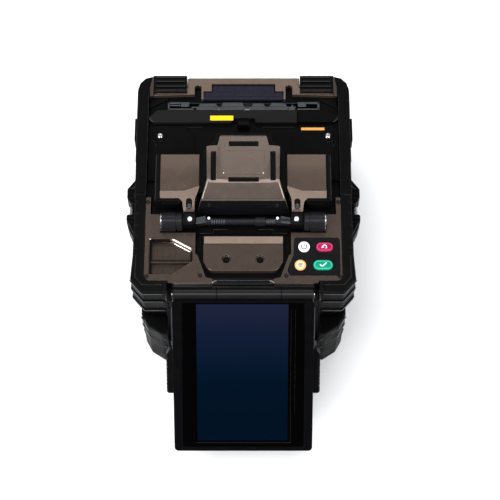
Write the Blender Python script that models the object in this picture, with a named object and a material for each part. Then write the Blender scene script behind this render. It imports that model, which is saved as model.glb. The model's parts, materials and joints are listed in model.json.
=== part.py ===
"""Bench-top fiber fusion splicer, built as separate named pieces.

Frame: +Z up, +Y towards the heater at the back, +X to the operator's right. The origin is the middle of
the case's footprint, on the surface that the splicer stands on. Sizes are in millimetres and are turned
into metres by MM where a shape is made.
"""

import math

import bmesh
import bpy
from mathutils import Matrix, Vector

MM = 0.001
GAP = 0.3  # between pieces that touch
LONG = 400.0  # how far a cutter reaches past what it cuts

# ---------------------------------------------------------------- driving dimensions, in millimetres
CASE_X, CASE_Y = 70.0, 78.0  # half width and half depth of the case
CASE_R = 4.0  # its corners
WALL = 2.5
CASE_BOTTOM, CASE_SPLIT, CASE_TOP = 3.0, 74.0, 117.5
FRAME_TOP = 122.0  # black top frame
DECK_TOP = 126.0  # brown front deck
DECK_SKIN = 3.0
TRIM_TOP = 126.3  # brown rear trim

DAMPER_X, DAMPER_REAR, DAMPER_FRONT = 78.4, 86.5, -87.0  # rubber outline
DAMPER_SPLIT = -11.2  # where the front and rear dampers meet
UPPER_DAMPER = (90.0, 126.5)
LOWER_DAMPER = (0.0, 57.0)
LOWER_FRONT = -93.0
LUG_X, LUG_Z = 86.0, (88.0, 102.0)
STRAP_GAP = (-15.5, -7.0)  # between the lugs
FLANGE_X, FLANGE_Y, FLANGE_Z = 81.2, (40.6, 58.3), (100.0, 113.0)

MONITOR_AXIS = (0.0, -87.0, 121.0)
MONITOR_TILT = 42.9  # degrees below the horizontal, as opened
MONITOR_X, MONITOR_END = 50.0, 118.8
MONITOR_BACK, MONITOR_SEAM, MONITOR_FACE = -7.2, 3.0, 7.0
BARREL_R, MONITOR_PIN_R = 5.5, 1.8

COVER_AXIS = (0.0, -34.0, 129.3)
COVER_X, COVER_FRONT, COVER_REAR = 63.5, -21.0, 34.0
COVER_BOTTOM, COVER_TOP, COVER_PEAK = 122.6, 136.0, 149.0
SHAFT_R, MOTOR_R = 2.0, 7.0
ARM_X = (34.4, 42.6)

WELL_X, WELL_Y = 50.0, (-19.0, 14.6)  # opening over the splice stage
FIBER_Z = 120.0  # height of the line that the fibers lie on

TROUGH_X, TROUGH_Y, TROUGH_Z = 56.5, (59.2, 66.8), (112.0, 122.6)
LID_AXIS = (0.0, 69.2, 124.4)
LID_X, LID_TAB_X, LID_REAR = 29.5, 23.5, 79.0

BATTERY_X, BATTERY_Y, BATTERY_Z = 40.0, (9.0, 79.0), (9.5, 38.5)

# ---------------------------------------------------------------- materials: colour, roughness, metallic
LOOKS = {
    "bronze": ((0.16, 0.12, 0.095), 0.38, 0.75),
    "black_plastic": ((0.018, 0.018, 0.019), 0.5, 0.0),
    "rubber": ((0.014, 0.014, 0.015), 0.75, 0.0),
    "steel": ((0.62, 0.62, 0.64), 0.25, 1.0),
    "aluminium": ((0.55, 0.56, 0.58), 0.35, 1.0),
    "ceramic": ((0.82, 0.81, 0.78), 0.45, 0.0),
    "screen_glass": ((0.01, 0.02, 0.045), 0.08, 0.0),
    "circuit_board": ((0.03, 0.16, 0.08), 0.55, 0.0),
    "white_key": ((0.85, 0.85, 0.85), 0.4, 0.0),
    "red_key": ((0.45, 0.04, 0.12), 0.4, 0.0),
    "orange_key": ((0.78, 0.52, 0.25), 0.4, 0.0),
    "green_key": ((0.04, 0.42, 0.3), 0.4, 0.0),
}


def clear_scene():
    for obj in list(bpy.data.objects):
        bpy.data.objects.remove(obj)


def make_materials():
    for name, (colour, roughness, metallic) in LOOKS.items():
        material = bpy.data.materials.new(name)
        material.use_nodes = True
        shader = material.node_tree.nodes["Principled BSDF"]
        shader.inputs["Base Color"].default_value = (*colour, 1.0)
        shader.inputs["Roughness"].default_value = roughness
        shader.inputs["Metallic"].default_value = metallic


def make_collection(name, hidden=False):
    collection = bpy.data.collections.new(name)
    bpy.context.scene.collection.children.link(collection)
    collection.hide_render = hidden
    return collection


# ---------------------------------------------------------------- shapes
def finish_object(obj, look=None):
    """Moves obj into the splicer's collection, or among the cutters where it has no material."""
    for collection in list(obj.users_collection):
        collection.objects.unlink(obj)
    if look is None:
        CUTTERS.objects.link(obj)
        obj.hide_render = True
        obj.display_type = "WIRE"
    else:
        SPLICER.objects.link(obj)
        obj.data.materials.clear()
        obj.data.materials.append(bpy.data.materials[look])
    return obj


def box(name, low, high, look=None):
    """A box from its lowest and highest corners."""
    low, high = Vector(low) * MM, Vector(high) * MM
    bpy.ops.mesh.primitive_cube_add(size=1, location=(low + high) / 2)
    obj = bpy.context.object
    obj.name = name
    obj.data.transform(Matrix.Diagonal((*(high - low), 1)))
    return finish_object(obj, look)


def cylinder(name, radius, start, end, look=None, sides=24):
    """A round bar between two points."""
    start, end = Vector(start) * MM, Vector(end) * MM
    bpy.ops.mesh.primitive_cylinder_add(
        vertices=sides, radius=radius * MM, depth=(end - start).length, location=(start + end) / 2
    )
    obj = bpy.context.object
    obj.name = name
    obj.rotation_euler = (end - start).to_track_quat("Z", "Y").to_euler()
    bpy.ops.object.transform_apply(location=False, rotation=True, scale=True)
    return finish_object(obj, look)


def rounded(corners, steps=3):
    """The outline through corners, each (x, y) or (x, y, radius), with an arc at each radius."""
    outline = []
    for i, corner in enumerate(corners):
        here = Vector(corner[:2])
        radius = corner[2] if len(corner) > 2 else 0.0
        if not radius:
            outline.append(here)
            continue
        back = (Vector(corners[i - 1][:2]) - here).normalized()
        on = (Vector(corners[(i + 1) % len(corners)][:2]) - here).normalized()
        half = back.angle(on) / 2
        centre = here + (back + on).normalized() * radius / math.sin(half)
        first = here + back * radius / math.tan(half) - centre
        last = here + on * radius / math.tan(half) - centre
        sweep = first.angle_signed(last)
        for k in range(steps + 1):
            turn = Matrix.Rotation(-sweep * k / steps, 2)
            outline.append(centre + turn @ first)
    return outline


def mirrored(corners):
    """The same outline on the other side of x = 0."""
    return [(-c[0], *c[1:]) for c in reversed(corners)]


def symmetric(half):
    """A whole outline from its half on the side of +x, listed from one end on x = 0 side to the other."""
    return [*half, *mirrored(half)]


ALONG_X = Matrix(((0, 0, 1, 0), (1, 0, 0, 0), (0, 1, 0, 0), (0, 0, 0, 1)))  # an outline in y, z


def plate(name, corners, low, high, look=None, turned=None, steps=3):
    """A flat outline given a thickness from low to high along Z, or along X where turned is ALONG_X."""
    outline = rounded(corners, steps)
    curve = bpy.data.curves.new(name, "CURVE")
    curve.dimensions = "2D"
    curve.fill_mode = "BOTH"
    curve.extrude = (high - low) / 2 * MM
    spline = curve.splines.new("POLY")
    spline.points.add(len(outline) - 1)
    for point, (x, y) in zip(spline.points, outline):
        point.co = (x * MM, y * MM, 0, 1)
    spline.use_cyclic_u = True
    guide = bpy.data.objects.new(name + "_outline", curve)
    bpy.context.scene.collection.objects.link(guide)
    bpy.context.view_layer.update()
    evaluated = guide.evaluated_get(bpy.context.evaluated_depsgraph_get())
    mesh = bpy.data.meshes.new_from_object(evaluated)
    bpy.data.objects.remove(guide)
    bm = bmesh.new()
    bm.from_mesh(mesh)
    bmesh.ops.remove_doubles(bm, verts=bm.verts, dist=1e-6)
    for side in (-1, 1):
        # The curve's cap of many triangles becomes one face.
        cap = [f for f in bm.faces if all(v.co.z * side > 0 for v in f.verts)]
        bmesh.ops.dissolve_faces(bm, faces=cap)
    bmesh.ops.recalc_face_normals(bm, faces=bm.faces)
    bm.to_mesh(mesh)
    bm.free()
    mesh.transform(Matrix.Translation((0, 0, (low + high) / 2 * MM)))
    if turned is not None:
        mesh.transform(turned)
    obj = bpy.data.objects.new(name, mesh)
    bpy.context.scene.collection.objects.link(obj)
    return finish_object(obj, look)


def rectangle(x0, x1, y0, y1, r=0.0):
    """The corners of a rectangle, all rounded by r."""
    return [(x1, y0, r), (x1, y1, r), (x0, y1, r), (x0, y0, r)]


def boolean(obj, other, operation):
    """Adds a live Boolean to obj; a body joined on is left out of the collection of parts."""
    modifier = obj.modifiers.new(operation.lower(), "BOOLEAN")
    modifier.operation = operation
    modifier.solver = "EXACT"
    modifier.object = other
    if operation == "UNION":
        finish_object(other)
    return obj


def cut(obj, *cutters):
    """Takes other bodies away from obj."""
    for cutter in cutters:
        boolean(obj, cutter, "DIFFERENCE")
    return obj


def join(obj, *others):
    """Joins other bodies onto obj."""
    for other in others:
        boolean(obj, other, "UNION")
    return obj


def joint_empty(name, place):
    """An empty on a joint's axis, which the pieces that the joint moves are parented to."""
    empty = bpy.data.objects.new(name, None)
    empty.location = Vector(place) * MM
    SPLICER.objects.link(empty)
    return empty


def carry(empty, *objects):
    """Parents objects to empty without moving them."""
    bpy.context.view_layer.update()
    for obj in objects:
        obj.parent = empty
        obj.matrix_parent_inverse = empty.matrix_world.inverted()


SIDES = (("left", -1), ("right", 1))


def on_side(corners, side):
    """An outline drawn for the right, mirrored when side is the left."""
    return corners if side > 0 else mirrored(corners)


def spans(low, high, side):
    """(low, high) on the right, and the same span mirrored on the left."""
    return (low, high) if side > 0 else (-high, -low)


# ---------------------------------------------------------------- case
def case_shell(name, low, high, floor):
    outer = plate(name, rectangle(-CASE_X, CASE_X, -CASE_Y, CASE_Y, CASE_R), low, high, "black_plastic")
    inside = rectangle(WALL - CASE_X, CASE_X - WALL, WALL - CASE_Y, CASE_Y - WALL, CASE_R - WALL)
    return cut(outer, plate(name + "_hollow", inside, low + floor, high + LONG))


def build_case():
    lower = case_shell("lower_case", CASE_BOTTOM, CASE_SPLIT, 3.0)
    bay = box(
        "battery_bay",
        (-BATTERY_X - 3.2, BATTERY_Y[0] - 3, CASE_BOTTOM + 1),
        (BATTERY_X + 3.2, CASE_Y - 1, BATTERY_Z[1] + 3.2),
    )
    join(lower, bay)
    bay_hollow = box(
        "bay_hollow",
        (-BATTERY_X - 1.0, BATTERY_Y[0] - 1, BATTERY_Z[0] - 0.3),
        (BATTERY_X + 1.0, LONG, BATTERY_Z[1] + 1.0),
    )
    cut(lower, bay_hollow)
    upper = case_shell("upper_case", CASE_SPLIT + GAP, CASE_TOP, -1.0)
    cut(upper, box("io_mouth", (-LONG, 20.0, 77.0), (-CASE_X + 8, 62.0, 90.0)))
    panel = box("io_panel", (-CASE_X + 0.4, 20.4, 77.4), (-CASE_X + 3.4, 61.6, 89.6), "black_plastic")
    cut(
        panel,
        cylinder("power_jack_hole", 3.6, (-LONG, 29.0, 83.5), (0, 29.0, 83.5), sides=16),
        box("usb_hole", (-LONG, 38.0, 80.7), (0, 46.2, 86.3)),
        box("card_hole", (-LONG, 51.0, 82.0), (0, 58.0, 85.0)),
    )
    box("tripod_plate", (-22, -22, 0), (22, 22, CASE_BOTTOM - GAP), "aluminium")


def battery():
    low = (-BATTERY_X, BATTERY_Y[0], BATTERY_Z[0])
    pack = box("battery_pack", low, (BATTERY_X, BATTERY_Y[1], BATTERY_Z[1]), "black_plastic")
    slot = box("latch_slot", (-9, BATTERY_Y[1] - 6, 28.0), (9, LONG, 37.0))
    cut(pack, slot)
    latch = box("battery_latch", (-5, BATTERY_Y[1] - 5.4, 31.5), (5, BATTERY_Y[1] + 1.2, 36.5), "rubber")
    joint = joint_empty("battery_slide", (0, BATTERY_Y[1], BATTERY_Z[0]))
    carry(joint, pack, latch)


def boards():
    """The electronics inside the case."""
    main = box("main_board", (-60, -66, 62.0), (60, 66, 63.6), "circuit_board")
    cut(main, cylinder("main_board_hole", 5, (48, 52, 0), (48, 52, 100), sides=12))
    box("arc_supply", (-52, -50, 64.0), (-12, -20, 84.0), "black_plastic")


# ---------------------------------------------------------------- rubber dampers and strap bars
def build_dampers():
    inner = CASE_X + GAP
    inner_y = CASE_Y + GAP
    bend = CASE_R + GAP
    gap = GAP / 2
    upper_front = [
        (54.0, -inner_y),
        (54.0, DAMPER_FRONT, 1.5),
        (71.0, DAMPER_FRONT, 2.5),
        (DAMPER_X + 1.2, -77.0, 2.5),
        (DAMPER_X - 0.4, -58.0),
        (DAMPER_X - 0.4, DAMPER_SPLIT - gap),
        (inner, DAMPER_SPLIT - gap),
        (inner, -inner_y, bend),
    ]
    upper_rear = [
        (inner, DAMPER_SPLIT + gap),
        (DAMPER_X, DAMPER_SPLIT + gap),
        (DAMPER_X, DAMPER_REAR, 11.0),
        (42.0, DAMPER_REAR, 1.5),
        (42.0, inner_y),
        (inner, inner_y, bend),
    ]
    lower_front = [
        (57.0, -inner_y),
        (57.0, LOWER_FRONT, 1.5),
        (61.0, LOWER_FRONT, 2.5),
        (71.0, -86.5, 2.5),
        (75.8, -77.5, 2.0),
        (76.4, DAMPER_SPLIT - gap),
        (inner, DAMPER_SPLIT - gap),
        (inner, -inner_y, bend),
    ]
    lower_rear = [
        (inner, DAMPER_SPLIT + gap),
        (76.4, DAMPER_SPLIT + gap),
        (77.5, DAMPER_REAR, 11.0),
        (57.0, DAMPER_REAR, 1.5),
        (57.0, inner_y),
        (inner, inner_y, bend),
    ]
    front_lug = [
        (77.0, -38.0),
        (79.0, -38.0),
        (84.0, -27.0),
        (LUG_X, -20.0, 1.5),
        (LUG_X, STRAP_GAP[0], 1.5),
        (77.0, STRAP_GAP[0]),
    ]
    rear_lug = [
        (77.0, STRAP_GAP[1]),
        (83.0, STRAP_GAP[1], 1.0),
        (LUG_X, -2.0, 1.5),
        (LUG_X, 5.0, 2.0),
        (DAMPER_X, 15.0),
        (77.0, 15.0),
    ]
    for word, side in SIDES:
        plate("lower_front_damper_" + word, on_side(lower_front, side), *LOWER_DAMPER, "rubber")
        plate("lower_rear_damper_" + word, on_side(lower_rear, side), *LOWER_DAMPER, "rubber")
        front = plate("upper_front_damper_" + word, on_side(upper_front, side), *UPPER_DAMPER, "rubber")
        rear = plate("upper_rear_damper_" + word, on_side(upper_rear, side), *UPPER_DAMPER, "rubber")
        join(front, plate("front_lug_" + word, on_side(front_lug, side), *LUG_Z))
        join(rear, plate("rear_lug_" + word, on_side(rear_lug, side), *LUG_Z))
        flange = rectangle(*spans(DAMPER_X - 1, FLANGE_X, side), *FLANGE_Y)
        join(rear, plate("flange_" + word, flange, *FLANGE_Z))
        low, high = spans(42.0, 67.0, side)
        foot = box("pad_foot_" + word, (low, CASE_Y + 1, 120.0), (high, DAMPER_REAR - 0.6, 128.0))
        pad = box("rear_pad_" + word, (low, 72.5, TRIM_TOP + GAP), (high, DAMPER_REAR - 0.6, 129.0))
        join(rear, foot, pad)
        # The strap's hook goes behind the bar, into a pocket that both dampers share.
        low, high = spans(CASE_X + 2.5, LONG, side)
        pocket = box("strap_pocket_" + word, (low, STRAP_GAP[0], -LONG), (high, STRAP_GAP[1], LUG_Z[1] + 1))
        cut(front, pocket)
        cut(rear, pocket)
        x = (LUG_X - 3.5) * side
        y0, y1 = STRAP_GAP[0] + GAP, STRAP_GAP[1] - GAP
        cylinder("strap_bar_" + word, 2.2, (x, y0, 95.0), (x, y1, 95.0), "steel", sides=12)


# ---------------------------------------------------------------- top frame, deck and what sits in it
TRAY = [(-35.8, -63.5), (-35.8, -53.1), (-49.7, -45.2), (-67.0, -45.2), (-67.0, -73.5), (-49.8, -73.5)]
KEYPAD = [
    (68.5, -74.0, 3),
    (68.5, -45.0, 3),
    (36.5, -45.0, 2),
    (36.0, -58.5),
    (31.5, -70.0, 3),
    (33.2, -74.0, 2),
]
KEYS = (  # name, centre, half length, radius, look
    ("power_button", (43.3, -52.4), 0.0, 4.0, "white_key"),
    ("reset_button", (57.9, -52.6), 2.6, 3.5, "red_key"),
    ("heat_button", (40.5, -66.5), 0.0, 4.0, "orange_key"),
    ("set_button", (56.6, -66.5), 3.2, 3.8, "green_key"),
)
KEY_CLEARANCE = 0.4


def grown(corners, by):
    """An outline with every side moved out by the same amount; corners run anticlockwise or clockwise."""
    points = [Vector(c[:2]) for c in corners]
    area = sum(a.x * b.y - b.x * a.y for a, b in zip(points, points[1:] + points[:1]))
    out = 1 if area > 0 else -1
    moved = []
    for i, here in enumerate(points):
        before = (here - points[i - 1]).normalized()
        after = (points[(i + 1) % len(points)] - here).normalized()
        n0 = Vector((before.y, -before.x)) * out
        n1 = Vector((after.y, -after.x)) * out
        shift = (n0 + n1) / (1 + n0.dot(n1)) * by
        radius = max(corners[i][2] + by, 0.0) if len(corners[i]) > 2 else 0.0
        moved.append((here.x + shift.x, here.y + shift.y, radius))
    return moved


def key_outline(centre, half, radius):
    """A round or long key: the radius rounds both of its ends."""
    x, y = centre
    ends = radius - 0.01  # a touch less than half the height, so that no two points meet
    return rectangle(x - half - radius, x + half + radius, y - radius, y + radius, ends)


def build_top():
    half_frame = [
        (26.0, -76.2),
        (33.7, -58.0),
        (33.7, -40.7),
        (59.2, -40.7),
        (59.2, -26.2),
        (66.2, -26.2),
        (66.2, -12.7),
        (CASE_X, -12.7),
        (CASE_X, CASE_Y, CASE_R),
    ]
    frame = plate("top_frame", symmetric(half_frame), CASE_TOP + GAP, FRAME_TOP, "black_plastic")
    cut(
        frame,
        box("well_mouth", (-WELL_X, WELL_Y[0], 90.0), (WELL_X, WELL_Y[1], 140.0)),
        box(
            "trough_slot",
            (-TROUGH_X - GAP, TROUGH_Y[0] - GAP, 90.0),
            (TROUGH_X + GAP, TROUGH_Y[1] + GAP, 140.0),
        ),
        box("fiber_groove", (-LONG, -2.5, FIBER_Z - 0.6), (LONG, 2.5, 140.0)),
    )

    half_deck = [
        (CASE_X, -CASE_Y, CASE_R),
        (CASE_X, -13.0, 1),
        (66.5, -13.0),
        (66.5, -26.5),
        (59.5, -26.5),
        (59.5, -41.0),
        (34.0, -41.0),
        (34.0, -58.0),
        (26.3, -76.5),
    ]
    deck = plate("deck_panel", symmetric(half_deck), CASE_TOP + GAP, DECK_TOP, "bronze")
    cut(deck, box("deck_front_dip", (-23.5, -LONG, 121.0), (23.5, -70.0, LONG)))
    for word, side in SIDES:
        inside = rectangle(*spans(37.5, CASE_X - 2, side), -76.0, -43.5, 2)
        cut(deck, plate("deck_hollow_" + word, inside, 0, DECK_TOP - DECK_SKIN))
        opening = grown(KEYPAD if side > 0 else TRAY, GAP)
        cut(deck, plate("deck_opening_" + word, opening, 0, LONG))

    tray = plate("parts_tray", TRAY, 118.6, DECK_TOP, "bronze")
    cut(tray, plate("tray_hollow", grown(TRAY, -1.2), 120.6, LONG))

    keypad = plate("keypad_plate", KEYPAD, 122.4, DECK_TOP + 0.4, "black_plastic")
    box("keypad_board", (38.5, -72.5, 118.3), (67.0, -46.5, 119.9), "circuit_board")
    for name, centre, half, radius, look in KEYS:
        outline = key_outline(centre, half, radius)
        cut(keypad, plate(name + "_hole", key_outline(centre, half, radius + KEY_CLEARANCE), 0, LONG))
        key = plate(name, outline, 121.2, DECK_TOP + 1.2, look, steps=5)
        carry(joint_empty(name + "_press", (*centre, DECK_TOP)), key)

    outline = symmetric([(28.0, -71.2, 5), (28.0, -44.6)])
    stage_cover = plate("front_stage_cover", outline, FRAME_TOP + GAP, 127.0, "bronze")
    for x in (-12, 12):
        cut(stage_cover, cylinder("cover_hole", 3.4, (x, -62, 124), (x, -62, 140), sides=16))


# ---------------------------------------------------------------- heater
def build_heater():
    half_trim = [
        (LID_TAB_X, 80.2),
        (LID_TAB_X, 74.0),
        (31.4, 74.0),
        (31.4, 79.0, 2.4),
        (36.3, 79.0, 2.4),
        (36.3, 70.5),
        (CASE_X - 0.5, 70.5, 1),
        (CASE_X - 0.5, CASE_Y - 1, 3),
        (41.6, CASE_Y - 1),
        (41.6, 85.6, 1),
    ]
    trim = plate("rear_trim", symmetric(half_trim), FRAME_TOP + GAP, TRIM_TOP, "bronze")
    for word, side in SIDES:
        low, high = spans(29.8, 31.3, side)
        y = LID_AXIS[1]
        join(trim, box("lid_ear_" + word, (low, y - 1.7, FRAME_TOP + GAP), (high, 74.5, TRIM_TOP - 0.1)))
        hinge = LID_AXIS[1:]
        join(trim, cylinder("lid_pivot_" + word, 0.8, (24 * side, *hinge), (30.5 * side, *hinge), sides=12))

    low = (-TROUGH_X, TROUGH_Y[0], TROUGH_Z[0])
    trough = box("heater_trough", low, (TROUGH_X, TROUGH_Y[1], TROUGH_Z[1]), "aluminium")
    cut(trough, box("trough_channel", (-LONG, TROUGH_Y[0] + 1.2, 114.6), (LONG, TROUGH_Y[1] - 1.2, LONG)))
    box("heater_element", (-30, TROUGH_Y[0] + 1.6, 114.9), (30, TROUGH_Y[1] - 1.6, 116.2), "ceramic")
    half_bar = [(66.8, 48.2), (69.6, 50.8), (69.6, 53.0), (63.5, 58.8)]
    bar = plate("heater_front_bar", symmetric(half_bar), FRAME_TOP + GAP, 126.2, "black_plastic")
    cut(bar, box("latch_notch", (-4.6, 40.0, 100.0), (4.6, 51.2, 140.0)))

    half_lid = [(LID_X, LID_AXIS[1]), (LID_X, 73.5), (LID_TAB_X - 0.5, 73.5), (LID_TAB_X - 0.5, LID_REAR)]
    lid = plate("heater_lid", symmetric(half_lid), 123.2, 125.6, "black_plastic")
    knuckle = cylinder("lid_knuckle", 1.7, (-LID_X, *LID_AXIS[1:]), (LID_X, *LID_AXIS[1:]), sides=12)
    join(lid, knuckle)
    cut(lid, cylinder("lid_bore", 0.9, (-LONG, *LID_AXIS[1:]), (LONG, *LID_AXIS[1:]), sides=12))
    carry(joint_empty("heater_lid_hinge", LID_AXIS), lid)


# ---------------------------------------------------------------- wind cover and its hinge
def build_wind_cover():
    joint = joint_empty("wind_cover_hinge", COVER_AXIS)
    half_frame = [
        (33.0, -13.9),
        (33.0, COVER_FRONT),
        (COVER_X, COVER_FRONT, 2),
        (COVER_X, 16.5, 2),
        (29.0, 16.5),
        (29.0, 20.5),
        (21.0, 27.5),
        (19.5, COVER_REAR, 3),
    ]
    frame = plate("wind_cover_frame", symmetric(half_frame), COVER_BOTTOM, COVER_TOP, "black_plastic")
    cut(
        frame,
        plate("cover_hollow", rectangle(-61.3, 61.3, -11.5, 14.5), 0, COVER_TOP - 2.2),
        plate("cover_hollow_rear", rectangle(-17.0, 17.0, 10.0, 31.5), 0, COVER_TOP - 2.2),
        box("lamp_window", (-21.5, -12, 0), (21.5, 12, LONG)),
    )
    y, z = COVER_AXIS[1:]
    profile = [
        (y - 4.4, z - 3.0, 2),
        (y + 3.0, z - 4.6),
        (COVER_FRONT + 1.0, z - 4.6),
        (COVER_FRONT + 1.0, COVER_TOP - 0.2),
        (y, COVER_TOP - 0.2),
        (y - 4.4, z + 3.5, 2),
    ]
    for word, side in SIDES:
        low, high = spans(55.0, 80.0, side)
        cut(frame, box("fiber_notch_" + word, (low, -2.5, 0), (high, 2.5, 127.0)))
        join(frame, plate("cover_arm_" + word, profile, *spans(*ARM_X, side), turned=ALONG_X))
    cut(frame, cylinder("shaft_bore", SHAFT_R + 0.3, (-LONG, y, z), (LONG, y, z), sides=20))

    profile = [
        (-27.2, 127.0),
        (-22.4, 127.0),
        (-14.3, COVER_TOP + GAP),
        (26.4, COVER_TOP + GAP),
        (26.4, 146.5),
        (23.5, COVER_PEAK),
        (-10.0, COVER_PEAK),
        (-20.3, 142.0),
    ]
    centre = plate("wind_cover_centre", profile, -34.0, 34.0, "bronze", turned=ALONG_X)
    for word, side in SIDES:
        beside = [
            (70.0, -40.0),
            (70.0, 40.0),
            (16.5, 40.0),
            (16.5, 25.0),
            (18.6, 17.1),
            (26.3, 17.1),
            (25.5, -10.4),
            (29.5, -19.0),
            (35.0, -28.8),
            (35.0, -40.0),
        ]
        cut(centre, plate("beside_centre_" + word, on_side(beside, side), 0, LONG))
    cut(centre, box("centre_hollow", (-22.5, -8.5, 0), (22.5, 14.0, COVER_PEAK - 2.2)))

    board = box("lamp_board", (-20.5, -7.5, 137.0), (20.5, 13.0, 138.6), "circuit_board")
    pieces = [frame, centre, board]
    for word, side in SIDES:
        wing = [
            (59.4, -18.6, 1),
            (59.4, 15.2, 1),
            (31.6, 15.2),
            (31.6, -12.0),
            (35.4, -20.0),
            (35.4, -29.0),
            (42.0, -29.0),
            (43.5, -20.5),
            (46.5, -18.6),
        ]
        pieces.append(plate("wing_panel_" + word, on_side(wing, side), COVER_TOP + GAP, 138.6, "bronze"))
    carry(joint, *pieces)

    cylinder("cover_shaft", SHAFT_R, (-42.9, y, z), (42.9, y, z), "steel", sides=20)
    for word, side in SIDES:
        inner, outer = (43.2 * side, y, z), (59.0 * side, y, z)
        cylinder("hinge_damper_" + word, MOTOR_R, inner, outer, "black_plastic", sides=24)
    post = [(43.4, FRAME_TOP + GAP), (50.8, FRAME_TOP + GAP), (50.8, 127.0), (46.0, 131.0, 1), (43.4, 131.0)]
    plate("cover_latch", post, -4.2, 4.2, "black_plastic", turned=ALONG_X)


# ---------------------------------------------------------------- splice stage under the wind cover
def build_stage():
    f = FIBER_Z
    block = box("stage_block", (-28, -17, f - 17), (28, 14, f - 1), "aluminium")
    cut(
        block,
        box("stage_gap", (-7, -LONG, f - 9), (7, LONG, LONG)),
        box("fiber_channel", (-LONG, -3.5, f - 4), (LONG, 3.5, LONG)),
    )
    groove = box("v_groove_block", (-6.5, -6.5, f - 8.7), (6.5, 6.5, f + 1), "ceramic")
    notch = [(-1.4, f + 1.5), (0.0, f - 0.4), (1.4, f + 1.5)]
    cut(
        groove,
        plate("v_notch", notch, -LONG, LONG, turned=ALONG_X),
        box("arc_gap", (-2.0, -LONG, f - 3), (2.0, LONG, LONG)),
    )
    for word, side in (("front", -1), ("rear", 1)):
        low, high = spans(7.0, 11.0, side)
        holder = box("electrode_holder_" + word, (-5.0, low, f - 4), (5.0, high, f + 3), "ceramic")
        rod = cylinder("electrode_rod_" + word, 0.9, (0, 2.0 * side, f), (0, 9.5 * side, f), sides=10)
        join(holder, rod)
    camera = box("objective_block", (-9.0, -9.0, f - 43), (9.0, 9.0, f - 29), "black_plastic")
    join(camera, cylinder("objective_barrel", 5.0, (0, 0, f - 30), (0, 0, f - 17.5), sides=20))
    for word, side in SIDES:
        low, high = spans(30.0, 46.0, side)
        stage = box("feed_stage_" + word, (low, -10, f - 13), (high, 14, f + 1), "aluminium")
        cut(stage, box("holder_seat_" + word, (-LONG, -3.5, f - 1), (LONG, 3.5, LONG)))
        axis = (0, 11.6, f + 3)
        clamp = box("sheath_clamp_" + word, (low + 1, -7, f + 1.3), (high - 1, 9, f + 4.6), "black_plastic")
        inner, outer = (low + 1, *axis[1:]), (high - 1, *axis[1:])
        knuckle = cylinder("clamp_knuckle_" + word, 1.6, inner, outer, sides=12)
        web = box("clamp_web_" + word, (low + 1, 8.5, f + 2), (high - 1, 11.6, f + 4.4))
        join(clamp, web, knuckle)
        slide = joint_empty("feed_slide_" + word, (38.0 * side, 0, f - 6))
        hinge = joint_empty("sheath_clamp_hinge_" + word, (38.0 * side, *axis[1:]))
        carry(slide, stage, hinge)
        carry(hinge, clamp)


# ---------------------------------------------------------------- monitor
def build_monitor():
    """Modelled lying flat with its hinge at the origin, then tilted and moved to the hinge."""
    tilt = Matrix.Rotation(math.radians(MONITOR_TILT), 4, "X")
    place = Matrix.Translation(Vector(MONITOR_AXIS) * MM) @ tilt
    x = MONITOR_X
    outline = rectangle(-x, x, -MONITOR_END, -7.0, 2.5)
    back = plate("monitor_back_shell", outline, MONITOR_BACK, MONITOR_SEAM, "black_plastic")
    hollow = rectangle(2 - x, x - 2, 2 - MONITOR_END, -10.0, 1)
    barrel = cylinder("monitor_barrel", BARREL_R, (0.2 - x, 0, 0), (x - 0.2, 0, 0), sides=20)
    web = box("barrel_web", (0.2 - x, -8.0, -4.0), (x - 0.2, -2.0, 2.6))
    cut(back, plate("monitor_hollow", hollow, MONITOR_BACK + 2, LONG))
    join(back, web, barrel)
    cut(back, cylinder("barrel_bore", MONITOR_PIN_R + 0.3, (-LONG, 0, 0), (LONG, 0, 0), sides=16))
    outline = rectangle(-x, x, -MONITOR_END, -1.5, 2.5)
    bezel = plate("monitor_bezel", outline, MONITOR_SEAM + GAP, MONITOR_FACE, "black_plastic")
    relief = cylinder("bezel_relief", BARREL_R + GAP, (-LONG, 0, 0), (LONG, 0, 0), sides=20)
    window = rectangle(-43.6, 43.6, -112.8, -3.2)
    cut(bezel, relief, plate("bezel_window", window, MONITOR_SEAM + 2.2, LONG))
    cut(bezel, plate("bezel_light", rectangle(-33.4, 33.4, -108.4, -8.0), 0, LONG))
    glass = plate("touch_glass", grown(window, -GAP), MONITOR_SEAM + 2.5, MONITOR_FACE - 0.2, "screen_glass")
    lcd = box("lcd_module", (-35.5, -110.5, -3.4), (35.5, -11.0, 1.4), "aluminium")
    pieces = [back, bezel, glass, lcd]
    for word, side in SIDES:
        grip = [(x + GAP, -37.0), (55.0, -40.5, 1), (55.0, -71.5, 2), (x + GAP, -71.5)]
        pieces.append(plate("monitor_grip_" + word, on_side(grip, side), -5.4, 2.6, "rubber"))
    for obj in pieces:
        move_with_cutters(obj, place)
    carry(joint_empty("monitor_hinge", MONITOR_AXIS), *pieces)

    y, z = MONITOR_AXIS[1:]
    pin_end = MONITOR_X + 3.4
    cylinder("monitor_pin", MONITOR_PIN_R, (-pin_end, y, z), (pin_end, y, z), "steel", sides=16)
    for word, side in SIDES:
        profile = [
            (-CASE_Y - GAP, z - 3.6),
            (-CASE_Y - 1.4, z - 3.6),
            (y + 3.5, z + 2.5, 1),
            (y - 3.0, z + 5.0, 2),
            (y - 5.5, z, 2),
            (y - 3.0, z - 5.0, 2),
            (-CASE_Y - GAP, z - 13.5),
        ]
        span = spans(MONITOR_X + 0.5, MONITOR_X + 3.7, side)
        knuckle = plate("monitor_bracket_" + word, profile, *span, "black_plastic", turned=ALONG_X)
        bore = cylinder("bracket_bore_" + word, MONITOR_PIN_R + GAP, (-LONG, y, z), (LONG, y, z), sides=16)
        cut(knuckle, bore)


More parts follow.
